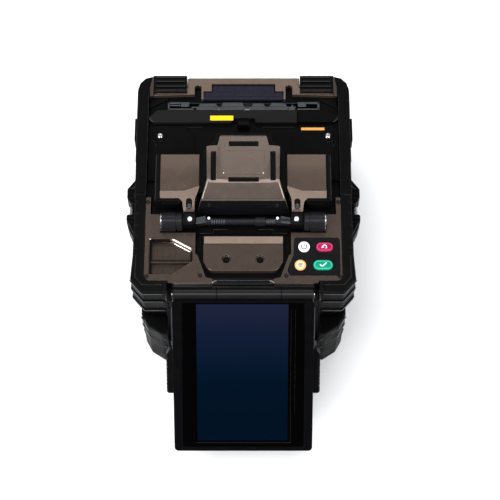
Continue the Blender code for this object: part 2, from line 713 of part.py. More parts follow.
def move_with_cutters(obj, place):
    """Moves an object and the cutters of its own Boolean modifiers."""
    bpy.context.view_layer.update()
    moving = [obj, *(m.object for m in obj.modifiers if m.type == "BOOLEAN")]
    for each in moving:
        each.matrix_world = place @ each.matrix_world


clear_scene()
make_materials()
SPLICER = make_collection("fusion_splicer")
CUTTERS = make_collection("cutters", hidden=True)
build_case()
battery()
boards()
build_dampers()
build_top()
build_heater()
build_wind_cover()
build_stage()
build_monitor()
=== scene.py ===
"""Looks of the fiber fusion splicer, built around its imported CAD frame.

Shapes are drawn in millimetres in the CAD's own frame: +X to the operator's right, +Y towards the heater
at the back, +Z up, with the origin under the middle of the case. A shape is a pair of lists, its points
and its faces, and piece() turns one into an object that rides on a body.
"""

import json
import math

import bmesh
import bpy
from mathutils import Matrix, Vector


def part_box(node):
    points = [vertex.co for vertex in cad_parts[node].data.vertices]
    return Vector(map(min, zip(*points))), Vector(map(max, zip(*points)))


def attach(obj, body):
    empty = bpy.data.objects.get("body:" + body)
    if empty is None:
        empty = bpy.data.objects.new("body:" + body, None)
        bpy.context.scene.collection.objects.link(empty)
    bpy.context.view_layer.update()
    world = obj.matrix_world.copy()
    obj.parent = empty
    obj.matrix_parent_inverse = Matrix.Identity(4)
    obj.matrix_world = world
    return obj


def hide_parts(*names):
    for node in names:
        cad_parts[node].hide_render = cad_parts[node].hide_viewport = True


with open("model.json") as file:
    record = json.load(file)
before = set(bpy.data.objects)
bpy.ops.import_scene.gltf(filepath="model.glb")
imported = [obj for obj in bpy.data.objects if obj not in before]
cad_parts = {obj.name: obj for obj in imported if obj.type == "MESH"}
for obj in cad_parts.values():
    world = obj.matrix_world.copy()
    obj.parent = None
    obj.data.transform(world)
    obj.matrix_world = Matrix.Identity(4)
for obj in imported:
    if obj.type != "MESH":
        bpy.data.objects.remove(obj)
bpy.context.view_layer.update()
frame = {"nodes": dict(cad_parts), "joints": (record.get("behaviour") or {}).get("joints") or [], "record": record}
NODES = frame["nodes"]
BODY_OF = {node: body for body, nodes in frame["record"]["behaviour"]["bodies"].items() for node in nodes}
SLOT_OF = {part["node"]: part["material_slot"] for part in frame["record"]["subparts"]}
JOINT_AT = {joint["name"]: Vector(joint["pos_m"]) for joint in frame["joints"] if "pos_m" in joint}
SIDES = (("left", -1), ("right", 1))
MM = 0.001
TALL = 200  # the top of a cutter that goes right through


def low(node):
    """A CAD node's lowest corner in millimetres."""
    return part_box(node)[0] / MM


def high(node):
    """A CAD node's highest corner in millimetres."""
    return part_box(node)[1] / MM


# ---------------------------------------------------------------- shapes
def rounded(corners, steps=6):
    """The outline through corners, each (x, y) or (x, y, radius), with an arc at each radius."""
    outline = []
    for i, corner in enumerate(corners):
        here = Vector(corner[:2])
        radius = corner[2] if len(corner) > 2 else 0
        if not radius:
            outline.append(here)
            continue
        before = (Vector(corners[i - 1][:2]) - here).normalized()
        after = (Vector(corners[(i + 1) % len(corners)][:2]) - here).normalized()
        half = before.angle(after) / 2
        centre = here + (before + after).normalized() * (radius / math.sin(half))
        first = here + before * (radius / math.tan(half)) - centre
        last = here + after * (radius / math.tan(half)) - centre
        sweep = first.angle_signed(last)
        for step in range(steps + 1):
            outline.append(centre + Matrix.Rotation(-sweep * step / steps, 2) @ first)
    return outline


def rectangle(x0, x1, y0, y1, radius=0):
    """The corners of a rectangle, all rounded by radius."""
    return [(x0, y0, radius), (x1, y0, radius), (x1, y1, radius), (x0, y1, radius)]


def mirrored(corners):
    """The same outline on the other side of x = 0."""
    return [(-corner[0], *corner[1:]) for corner in reversed(corners)]


def on_side(corners, side):
    """An outline drawn on the right, mirrored when side is the left."""
    return corners if side > 0 else mirrored(corners)


def symmetric(corners):
    """A whole outline from its half at +x."""
    return corners + mirrored(corners)


def spans(near, far, side):
    """(near, far) on the right, and the same span mirrored on the left."""
    return (near, far) if side > 0 else (-far, -near)


def merge(*shapes):
    """Several shapes as one."""
    points, faces = [], []
    for more_points, more_faces in shapes:
        shift = len(points)
        points += more_points
        faces += [[i + shift for i in face] for face in more_faces]
    return points, faces


def loft(lower, upper):
    """A closed solid between two rings with the same number of points."""
    count = len(lower)
    faces = [list(range(count)), list(range(count, 2 * count))]
    faces += [[i, (i + 1) % count, count + (i + 1) % count, count + i] for i in range(count)]
    return [tuple(p) for p in lower] + [tuple(p) for p in upper], faces


def prism(corners, bottom, top, steps=6):
    """An outline given a thickness. Bottom and top are heights, or functions of x and y."""
    ring = rounded(corners, steps)
    heights = [h if callable(h) else (lambda x, y, h=h: h) for h in (bottom, top)]
    return loft(*([(p.x, p.y, h(p.x, p.y)) for p in ring] for h in heights))


def box(x, y, z):
    """A box from its (low, high) along each axis."""
    return prism(rectangle(*x, *y), *z)


def along_x(shape):
    """A shape drawn in y and z with its thickness along x."""
    return [(c, a, b) for a, b, c in shape[0]], shape[1]


def along_y(shape):
    """A shape drawn in x and z with its thickness along y."""
    return [(a, c, b) for a, b, c in shape[0]], shape[1]


def moved(shape, matrix):
    """A shape with its points taken through a matrix."""
    return [tuple(matrix @ Vector(p)) for p in shape[0]], shape[1]


def flipped(shape, side):
    """A shape drawn on the right, turned over to the left when side is the left."""
    return shape if side > 0 else moved(shape, Matrix.Scale(-1, 4, (1, 0, 0)))


def turned(profile, centre, axis="Z", steps=32):
    """A solid turned about an axis through centre, from (distance along it, radius) pairs."""
    points, faces = [], []
    for along, radius in profile:
        for i in range(steps):
            angle = 2 * math.pi * i / steps
            points.append((radius * math.cos(angle), radius * math.sin(angle), along))
    for ring in range(len(profile) - 1):
        for i in range(steps):
            a, b = ring * steps + i, ring * steps + (i + 1) % steps
            faces.append([a, b, b + steps, a + steps])
    last = (len(profile) - 1) * steps
    faces += [list(range(steps)), list(range(last, last + steps))]
    turn = {"Z": Matrix(), "X": Matrix.Rotation(math.pi / 2, 4, "Y"),
            "Y": Matrix.Rotation(-math.pi / 2, 4, "X")}
    return moved((points, faces), Matrix.Translation(centre) @ turn[axis])


def bar(start, end, radius, steps=16):
    """A round bar between two points."""
    start, end = Vector(start), Vector(end)
    turn = (end - start).to_track_quat("Z", "Y").to_matrix().to_4x4()
    shape = turned([(0, radius), ((end - start).length, radius)], (0, 0, 0), steps=steps)
    return moved(shape, Matrix.Translation(start) @ turn)


def bead(points, radius, steps=10):
    """A run of round bars through points, for thin raised lines."""
    return merge(*(bar(a, b, radius, steps) for a, b in zip(points, points[1:])))


def ring_arc(centre, radius, width, start, end, z, steps=20):
    """A flat arc from angle start to end in degrees, between the heights z."""
    angles = [math.radians(start + (end - start) * i / steps) for i in range(steps + 1)]
    outer = [(centre[0] + (radius + width / 2) * math.cos(a), centre[1] + (radius + width / 2) * math.sin(a))
             for a in angles]
    inner = [(centre[0] + (radius - width / 2) * math.cos(a), centre[1] + (radius - width / 2) * math.sin(a))
             for a in angles]
    return prism(outer + inner[::-1], *z)


def stripe(points, width, z):
    """Flat straight strokes of one width through points in x and y."""
    made = []
    for a, b in zip(points, points[1:]):
        a, b = Vector(a), Vector(b)
        across = (b - a).normalized().orthogonal() * width / 2
        along = (b - a).normalized() * width / 2
        made.append(prism([a - along + across, b + along + across, b + along - across,
                           a - along - across], *z))
    return merge(*made)


def screw(centre, radius, depth=0.8, steps=20):
    """A screw head with a cross recess, standing depth proud of centre."""
    x, y, z = centre
    head = turned([(-0.6, radius), (depth * 0.5, radius), (depth, radius * 0.72), (depth, radius * 0.5),
                   (depth * 0.45, radius * 0.3), (depth * 0.45, 0.01)], centre, steps=steps)
    arms = [box((x - radius * 0.55, x + radius * 0.55), (y - 0.12 * radius, y + 0.12 * radius),
                (z, z + depth * 0.7)),
            box((x - 0.12 * radius, x + 0.12 * radius), (y - radius * 0.55, y + radius * 0.55),
                (z, z + depth * 0.7))]
    return merge(head, *arms)


def wall_screw(place, radius, side):
    """A screw head that stands out of a side wall."""
    turn = Matrix.Translation(place) @ Matrix.Rotation(side * math.pi / 2, 4, "Y")
    return moved(screw((0, 0, 0), radius), turn)


def as_mesh(name, shape, place=None):
    """A shape in millimetres as an object in metres, with its faces turned outwards."""
    mesh = bpy.data.meshes.new(name)
    mesh.from_pydata([tuple(c * MM for c in p) for p in shape[0]], [], shape[1])
    work = bmesh.new()
    work.from_mesh(mesh)
    bmesh.ops.remove_doubles(work, verts=work.verts, dist=0.000001)
    bmesh.ops.recalc_face_normals(work, faces=work.faces)
    work.to_mesh(mesh)
    work.free()
    if place is not None:
        mesh.transform(place)
    obj = bpy.data.objects.new(name, mesh)
    bpy.context.scene.collection.objects.link(obj)
    return obj


def carve(obj, shapes, place=None):
    """Cuts closed shapes out of obj's mesh."""
    for shape in shapes:
        cutter = as_mesh("cutter", shape, place)
        boolean = obj.modifiers.new("cut", "BOOLEAN")
        boolean.operation = "DIFFERENCE"
        boolean.solver = "EXACT"
        boolean.object = cutter
        bpy.context.view_layer.update()
        solid = bpy.data.meshes.new_from_object(obj.evaluated_get(bpy.context.evaluated_depsgraph_get()))
        obj.modifiers.remove(boolean)
        obj.data = solid
        bpy.data.objects.remove(cutter)


def piece(name, shape, body, material, replaces=(), bevel=0.25, cuts=(), place=None, segments=2):
    """An object in the row frame, riding on a body. The bevel is the radius of its edges in millimetres."""
    obj = as_mesh(name, shape, place)
    if cuts:
        carve(obj, cuts, place)
    obj.data.materials.clear()
    obj.data.materials.append(MATERIALS[material])
    for face in obj.data.polygons:
        face.use_smooth = True
    obj.data.set_sharp_from_angle(angle=math.radians(32))
    if bevel:
        rounding = obj.modifiers.new("bevel", "BEVEL")
        rounding.width = bevel * MM
        rounding.segments = segments
        rounding.limit_method = "ANGLE"
        rounding.angle_limit = math.radians(30)
        rounding.harden_normals = True
    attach(obj, body)
    if replaces:
        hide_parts(*replaces)
    return obj


# ---------------------------------------------------------------- materials
class Surface:
    """A Principled material with helpers for the procedural detail on it."""

    def __init__(self, name, colour, roughness, metallic=0.0, specular=0.5):
        self.material = bpy.data.materials.new(name)
        self.material.use_nodes = True
        self.tree = self.material.node_tree
        self.shader = self.tree.nodes["Principled BSDF"]
        self.colour = colour
        self.roughness = roughness
        self.set("Base Color", (*colour, 1.0))
        self.set("Roughness", roughness)
        self.set("Metallic", metallic)
        self.set("Specular IOR Level", specular)
        self.bump = None

    def set(self, socket, value):
        """Gives one socket of the shader a plain value."""
        self.shader.inputs[socket].default_value = value

    def node(self, kind, **settings):
        """A new node, with its sockets or settings filled in."""
        made = self.tree.nodes.new("ShaderNode" + kind)
        for key, value in settings.items():
            if key in made.inputs:
                made.inputs[key].default_value = value
            else:
                setattr(made, key, value)
        return made

    def link(self, out, into):
        """Joins an output to an input."""
        self.tree.links.new(out, into)

    def place(self):
        """Object coordinates, which are the row frame's metres on every piece here."""
        if not hasattr(self, "coordinates"):
            self.coordinates = self.node("TexCoord")
        return self.coordinates.outputs["Object"]

    def noise(self, size_mm, detail=4.0, stretch=(1, 1, 1)):
        """Noise whose grains are about size_mm across."""
        texture = self.node("TexNoise", Scale=1.0, Detail=detail)
        mapping = self.node("Mapping")
        mapping.inputs["Scale"].default_value = [s / (size_mm * MM) for s in stretch]
        self.link(self.place(), mapping.inputs["Vector"])
        self.link(mapping.outputs["Vector"], texture.inputs["Vector"])
        return texture.outputs["Fac"]

    def span(self, value, low_in, high_in, low_out, high_out):
        """A value moved from one range to another, and held inside it."""
        made = self.node("MapRange")
        for key, number in (("From Min", low_in), ("From Max", high_in), ("To Min", low_out),
                            ("To Max", high_out)):
            made.inputs[key].default_value = number
        self.link(value, made.inputs["Value"])
        return made.outputs["Result"]

    def vary_roughness(self, size_mm, amount):
        """Roughness that wanders by amount each way around its own value."""
        low_end, high_end = self.roughness - amount, self.roughness + amount
        self.link(self.span(self.noise(size_mm), 0.3, 0.7, low_end, high_end),
                  self.shader.inputs["Roughness"])

    def grain(self, size_mm, height_mm, detail=3.0, stretch=(1, 1, 1)):
        """Bump on top of any bump there is already."""
        made = self.node("Bump", Strength=1.0, Distance=height_mm * MM)
        self.link(self.noise(size_mm, detail, stretch), made.inputs["Height"])
        if self.bump is not None:
            self.link(self.bump, made.inputs["Normal"])
        self.bump = made.outputs["Normal"]
        self.link(self.bump, self.shader.inputs["Normal"])

    def highlight_edges_and_drift(self, edge_highlight_colour, size_mm=0.5, amount=0.6, cloud_mm=25.0, cloud=0.08):
        """Painted highlights along the edges, broken into patches, and a slow drift of tone over the surface."""
        soft = self.node("Bevel", samples=4, Radius=size_mm * MM)
        geometry = self.node("NewGeometry")
        facing = self.node("VectorMath", operation="DOT_PRODUCT")
        self.link(soft.outputs["Normal"], facing.inputs[0])
        self.link(geometry.outputs["Normal"], facing.inputs[1])
        # edge is the mask of the painted edge highlights: where the bevelled normal turns away from the face.
        edge = self.span(facing.outputs["Value"], 1.0, 0.8, 0.0, amount)
        patchy = self.span(self.noise(3.0), 0.35, 0.65, 0.45, 1.0)
        broken = self.node("Math", operation="MULTIPLY")
        self.link(edge, broken.inputs[0])
        self.link(patchy, broken.inputs[1])
        drift = self.node("MixRGB", blend_type="MIX")
        drift.inputs["Color1"].default_value = (*(c * (1 - cloud) for c in self.colour), 1)
        drift.inputs["Color2"].default_value = (*(c * (1 + cloud) for c in self.colour), 1)
        self.link(self.noise(cloud_mm), drift.inputs["Fac"])
        mix = self.node("MixRGB", blend_type="MIX")
        mix.inputs["Color2"].default_value = (*edge_highlight_colour, 1)
        self.link(drift.outputs["Color"], mix.inputs["Color1"])
        self.link(broken.outputs["Value"], mix.inputs["Fac"])
        self.link(mix.outputs["Color"], self.shader.inputs["Base Color"])


def bronze(name, colour, roughness=0.24):
    """Satin metallic brown paint with a fine flake."""
    made = Surface(name, colour, roughness, metallic=0.75, specular=0.3)
    # The lighter edges are painted highlights along the paint's edges.
    made.highlight_edges_and_drift((0.42, 0.36, 0.32), 0.4, 0.45)
    made.grain(0.25, 0.006)
    made.vary_roughness(6.0, 0.04)
    return made.material


def moulded(name, colour, roughness=0.5, grain_mm=0.5, height_mm=0.02, edge=0.035, specular=0.04):
    """Moulded plastic with a spark-eroded grain."""
    made = Surface(name, colour, roughness, specular=specular)
    # edge lifts the colour along the edges: painted highlights.
    made.highlight_edges_and_drift([c + edge for c in colour], 0.35, 0.4)
    made.grain(grain_mm, height_mm)
    made.vary_roughness(9.0, 0.05)
    return made.material


def rubber(name, colour):
    """Matt black rubber with painted highlights on its edges and a fine grain."""
    made = Surface(name, colour, 0.42, specular=0.02)
    made.highlight_edges_and_drift((0.1, 0.1, 0.1), 0.4, 0.7, cloud=0.3)
    made.grain(0.35, 0.02)
    made.grain(7.0, 0.05, detail=6)
    made.vary_roughness(12.0, 0.1)
    return made.material


def metal(name, colour, roughness=0.25, brushed=(1, 1, 1)):
    """Bare metal, plain or brushed one way."""
    made = Surface(name, colour, roughness, metallic=1.0)
    made.grain(0.4, 0.004, stretch=brushed)
    made.vary_roughness(2.0, 0.07)
    return made.material


def gloss(name, colour, roughness=0.12, specular=0.5):
    """Smooth lacquer or glass with only a trace of waviness."""
    made = Surface(name, colour, roughness, specular=specular)
    made.grain(14.0, 0.01)
    made.vary_roughness(20.0, 0.02)
    return made.material


def display(name, hinge):
    """The dark display under the glass: greyer near the hinge, and navy further down."""
    made = Surface(name, (0.001, 0.008, 0.028), 0.16, specular=0.08)
    offset = made.node("VectorMath", operation="SUBTRACT")
    offset.inputs[1].default_value = hinge
    made.link(made.place(), offset.inputs[0])
    split = made.node("SeparateXYZ")
    made.link(offset.outputs["Vector"], split.inputs["Vector"])
    ramp = made.node("ValToRGB")
    stops = ((0.0, (0.0062, 0.0075, 0.02)), (0.22, (0.0022, 0.005, 0.0145)), (0.5, (0.0002, 0.0028, 0.0085)),
             (0.8, (0.0001, 0.0022, 0.0065)), (1.0, (0.0002, 0.0024, 0.0105)))
    for at, _ in stops[2:]:
        ramp.color_ramp.elements.new(at)
    for element, (at, colour) in zip(ramp.color_ramp.elements, stops):
        element.position = at
        element.color = (*colour, 1)
    made.link(made.span(split.outputs["Z"], 0.004, -0.08, 0.0, 1.0), ramp.inputs["Fac"])
    made.link(ramp.outputs["Color"], made.shader.inputs["Base Color"])
    made.vary_roughness(20.0, 0.02)
    return made.material


MATERIALS = {
    "case_plastic": moulded("case_plastic", (0.002, 0.002, 0.0022), 0.4),
    "rubber_damper": rubber("rubber_damper", (0.003, 0.003, 0.0031)),
    "bronze_paint": bronze("bronze_paint", (0.138, 0.102, 0.082)),
    "tray_plastic": bronze("tray_plastic", (0.068, 0.05, 0.04), 0.34),
    # deep_bronze is a darker copy of the bronze paint: painted shade on the deck, its ramps and the stage cover
    # plate.
    "deep_bronze": bronze("deep_bronze", (0.088, 0.065, 0.053), 0.3),
    "light_bronze": bronze("light_bronze", (0.165, 0.129, 0.11)),
    # painted_glint_bronze is a near-white copy of the bronze paint for beads that paint highlights.
    "painted_glint_bronze": bronze("painted_glint_bronze", (0.85, 0.76, 0.7), 0.3),
    "cover_plastic": moulded("cover_plastic", (0.003, 0.003, 0.0034), 0.35),
    "hinge_metal": moulded("hinge_metal", (0.008, 0.008, 0.01), 0.28, height_mm=0.006, specular=0.2),
    "steel": metal("steel", (0.62, 0.62, 0.64), 0.22),
    "aluminium": metal("aluminium", (0.5, 0.5, 0.52), 0.32, brushed=(0.1, 1, 1)),
    "ceramic": moulded("ceramic", (0.7, 0.68, 0.64), 0.5, edge=0.1),
    "monitor_plastic": moulded("monitor_plastic", (0.0012, 0.0012, 0.0015), 0.4, height_mm=0.01, edge=0.015),
    "screen_glass": gloss("screen_glass", (0.0004, 0.0004, 0.0005), 0.14, 0.05),
    "circuit_board": moulded("circuit_board", (0.02, 0.12, 0.05), 0.5),
    "module_plastic": moulded("module_plastic", (0.02, 0.02, 0.022), 0.5),
    "white_key": moulded("white_key", (0.82, 0.82, 0.82), 0.4, edge=0.0),
    "red_key": moulded("red_key", (0.24, 0.008, 0.05), 0.35, edge=0.06),
    "orange_key": moulded("orange_key", (0.62, 0.3, 0.13), 0.4, edge=0.05),
    "green_key": moulded("green_key", (0.006, 0.19, 0.115), 0.35, edge=0.05),
    "display": display("display", JOINT_AT["monitor_tilt"]),
    "keypad_lacquer": gloss("keypad_lacquer", (0.003, 0.003, 0.0035), 0.2, 0.35),
    "barrel_gloss": gloss("barrel_gloss", (0.002, 0.002, 0.0024), 0.3, 0.4),
    # bar_grey and grey_metal also colour thin beads laid along dark edges, to paint highlights.
    "bar_grey": moulded("bar_grey", (0.03, 0.03, 0.031), 0.4),
    "grey_metal": metal("grey_metal", (0.11, 0.118, 0.125), 0.4),
    "dark_metal": metal("dark_metal", (0.035, 0.04, 0.046), 0.36),
    "bar_plastic": moulded("bar_plastic", (0.009, 0.0088, 0.009), 0.42),
    "symbol_white": moulded("symbol_white", (0.85, 0.85, 0.85), 0.5, edge=0.0),
    "symbol_grey": moulded("symbol_grey", (0.03, 0.03, 0.035), 0.5, edge=0.0),
    "cream": moulded("cream", (0.8, 0.68, 0.42), 0.5, edge=0.0),
    "pink": moulded("pink", (0.42, 0.06, 0.14), 0.4, edge=0.0),
    "mint": moulded("mint", (0.05, 0.42, 0.29), 0.4, edge=0.0),
    "yellow_label": moulded("yellow_label", (0.72, 0.47, 0.012), 0.5, edge=0.0),
    "orange_label": moulded("orange_label", (0.55, 0.27, 0.06), 0.5, edge=0.0),
    "lid_plastic": moulded("lid_plastic", (0.012, 0.012, 0.02), 0.36),
    "copper": metal("copper", (0.7, 0.4, 0.2), 0.3),
    "lens": gloss("lens", (0.01, 0.005, 0.03), 0.04, 0.9),
}


def soften(obj, width=0.4, segments=2):
    """Rounds a CAD node's edges. Its mesh is welded first, because the import splits it at sharp edges."""
    weld = obj.modifiers.new("weld", "WELD")
    weld.merge_threshold = 0.00001
    planar = obj.modifiers.new("planar", "DECIMATE")
    planar.decimate_type = "DISSOLVE"
    planar.angle_limit = math.radians(0.5)
    bevel = obj.modifiers.new("bevel", "BEVEL")
    bevel.width = width * MM
    bevel.segments = segments
    bevel.limit_method = "ANGLE"
    bevel.angle_limit = math.radians(28)
    bevel.harden_normals = True


OTHER_LOOK = {"heater_trough": "dark_metal", "battery_pack": "module_plastic"}
EDGES = {"heater_lid": 0.2, "strap_bar_left": 0.1, "strap_bar_right": 0.1, "cover_shaft": 0.15}


def dress_frame():
    """Every CAD node gets its slot's material and soft edges."""
    for node, obj in NODES.items():
        obj.data.materials.clear()
        obj.data.materials.append(MATERIALS[OTHER_LOOK.get(node, SLOT_OF[node])])
        soften(obj, EDGES.get(node, 0.4))


# ---------------------------------------------------------------- monitor
MONITOR_TILT = 42.9
MONITOR_BACK, MONITOR_SEAM, MONITOR_FACE, MONITOR_END = -7.2, 3.0, 7.0, -118.8


def build_monitor():
    """Drawn lying flat with its hinge on the x axis, then tilted and moved to the hinge."""
    place = Matrix.Translation(JOINT_AT["monitor_tilt"]) @ Matrix.Rotation(math.radians(MONITOR_TILT), 4, "X")
    shell = prism(rectangle(-50, 50, MONITOR_END, -6.8, 3), MONITOR_BACK, MONITOR_SEAM)
    vents = [box((x - 1, x + 1), (-30, -18), (MONITOR_BACK - 1, MONITOR_BACK + 0.8))
             for x in range(-24, 25, 4)]
    wells = [turned([(-1, 2.6), (1.4, 2.6)], (x, y, MONITOR_BACK)) for x in (-44, 44) for y in (-112, -14)]
    panel = prism(rectangle(-34, 34, -100, -42, 4), MONITOR_BACK - 1, MONITOR_BACK + 0.5)
    piece("monitor_shell", shell, "monitor", "monitor_plastic", replaces=["monitor_back_shell"], bevel=0.8,
          cuts=[*vents, *wells, panel], place=place)
    neck = along_x(prism([(-9, -3.6), (-1, -4.4), (-1, 2.4), (-9, 2.4)], -49.8, 49.8))
    barrel = turned([(-49.8, 4.9), (-49.2, 5.5), (49.2, 5.5), (49.8, 4.9)], (0, 0, 0), "X", 48)
    piece("monitor_barrel", merge(neck, barrel), "monitor", "barrel_gloss", bevel=0,
          place=place)
    piece("barrel_bands", merge(*(turned([(x - 0.35, 5.62), (x + 0.35, 5.62)], (0, 0, 0), "X", 48)
                                  for x in (-18.6, 27.0))),
          "monitor", "monitor_plastic", bevel=0, place=place)
    heads = [moved(screw((x, y, 0), 2.2),
                   Matrix.Translation((0, 0, MONITOR_BACK + 1.0)) @ Matrix.Rotation(math.pi, 4, "X")
                   @ Matrix.Translation((0, -2 * y, 0))) for x in (-44, 44) for y in (-112, -14)]
    piece("monitor_back_screws", merge(*heads), "monitor", "steel", bevel=0, place=place)

    rim = prism(rectangle(-50, 50, MONITOR_END, -1.6, 3), MONITOR_SEAM + 0.3, MONITOR_FACE)
    relief = turned([(-90, 5.8), (90, 5.8)], (0, 0, 0), "X", 48)
    window = prism(rectangle(-43.7, 43.7, -115.6, -3.0), MONITOR_SEAM + 2.4, MONITOR_FACE + 9)
    piece("monitor_rim", rim, "monitor", "monitor_plastic", replaces=["monitor_bezel"], bevel=0.7,
          cuts=[window, relief], place=place)
    glass = prism(rectangle(-43.4, 43.4, -115.3, -3.3, 1), MONITOR_SEAM + 2.5, MONITOR_FACE - 0.25)
    piece("glass_panel", glass, "monitor", "screen_glass", replaces=["touch_glass"], bevel=0.35, place=place)
    top = MONITOR_FACE - 0.25
    piece("display_area", prism(rectangle(-33.1, 31.9, -110.4, -4.4, 0.6), top - 0.2, top + 0.05), "monitor",
          "display", bevel=0, place=place)
    lines = [bead([(-34.4, -112.3, top), (34.8, -112.3, top)], 0.16),
             bead([(33.9, -8.2, top), (33.9, -111.5, top)], 0.06),
             bead([(36.9, -8.2, top), (36.9, -88, top)], 0.05)]
    piece("display_lines", merge(*lines), "monitor", "bar_plastic", bevel=0, place=place)
    marks = [turned([(-0.4, 1.3), (0.12, 1.3), (0.12, 0.8), (-0.1, 0.7)], (x, -55.5, MONITOR_FACE))
             for x in (-46.6, 46.4)]
    piece("rim_plugs", merge(*marks), "monitor", "monitor_plastic", bevel=0, place=place)

    for word, side in SIDES:
        outline = [(50.3, -40.5), (52.6, -41.2), (55.0, -44.5, 1), (55.0, -74.8, 2), (50.3, -74.8)]
        grip = prism(on_side(outline, side), -5.4, 2.6)
        grooves = [box(spans(54.2, 60, side), (y - 0.55, y + 0.55), (-9, 9)) for y in range(-72, -46, 3)]
        piece("grip_" + word, grip, "monitor", "rubber_damper", replaces=["monitor_grip_" + word], bevel=0.5,
              cuts=grooves, place=place)
        # A grey bead down the rim's side edge: a painted highlight.
        edge = [(50.4 * side, -8, 2.8), (50.4 * side, -40.0, 2.8)]
        piece("monitor_rim_highlight_" + word, bead(edge, 0.28), "monitor", "grey_metal", bevel=0,
              place=place)

    y, z = (JOINT_AT["monitor_tilt"] / MM).yz
    for word, side in SIDES:
        cap = turned([(0, 4.2), (0.5, 4.2), (0.9, 3.7), (0.9, 2.2), (0.3, 2.0)], (0, 0, 0), "X", 32)
        turn = Matrix.Translation((high("monitor_bracket_right").x * side, y,
                                   z)) @ Matrix.Scale(side, 4, (1, 0, 0))
        piece("hinge_cap_" + word, moved(cap, turn), "case", "hinge_metal", bevel=0.1)


# ---------------------------------------------------------------- front deck
TRAY = [(-35.8, -63.5), (-35.8, -53.1), (-49.7, -45.2), (-67.0, -45.2), (-67.0, -73.5), (-49.8, -73.5)]
KEYPAD = [(68.5, -74.0, 3), (68.5, -45.0, 3), (36.5, -45.0, 2), (36.0, -58.5), (31.5, -70.0, 3),
          (33.2, -74.0, 2)]


def grown(corners, by):
    """An outline with every side moved out by the same amount, each a number or one for every side."""
    points = [Vector(c[:2]) for c in corners]
    area = sum(a.x * b.y - b.x * a.y for a, b in zip(points, points[1:] + points[:1]))
    out = 1 if area > 0 else -1
    count = len(points)
    offsets = by if isinstance(by, (list, tuple)) else [by] * count
    lines = []
    for i in range(count):
        along = (points[(i + 1) % count] - points[i]).normalized()
        shift = Vector((along.y, -along.x)) * out * offsets[i]
        lines.append((points[i] + shift, along))
    moved_corners = []
    for i in range(count):
        (p, u), (q, v) = lines[i - 1], lines[i]
        k = ((q.x - p.x) * v.y - (q.y - p.y) * v.x) / (u.x * v.y - u.y * v.x)
        place = p + u * k
        moved_corners.append((place.x, place.y, *corners[i][2:]))
    return moved_corners


def at_height(corners, z):
    """The points of an outline, all at the height z."""
    return [(p.x, p.y, z) for p in rounded(corners)]


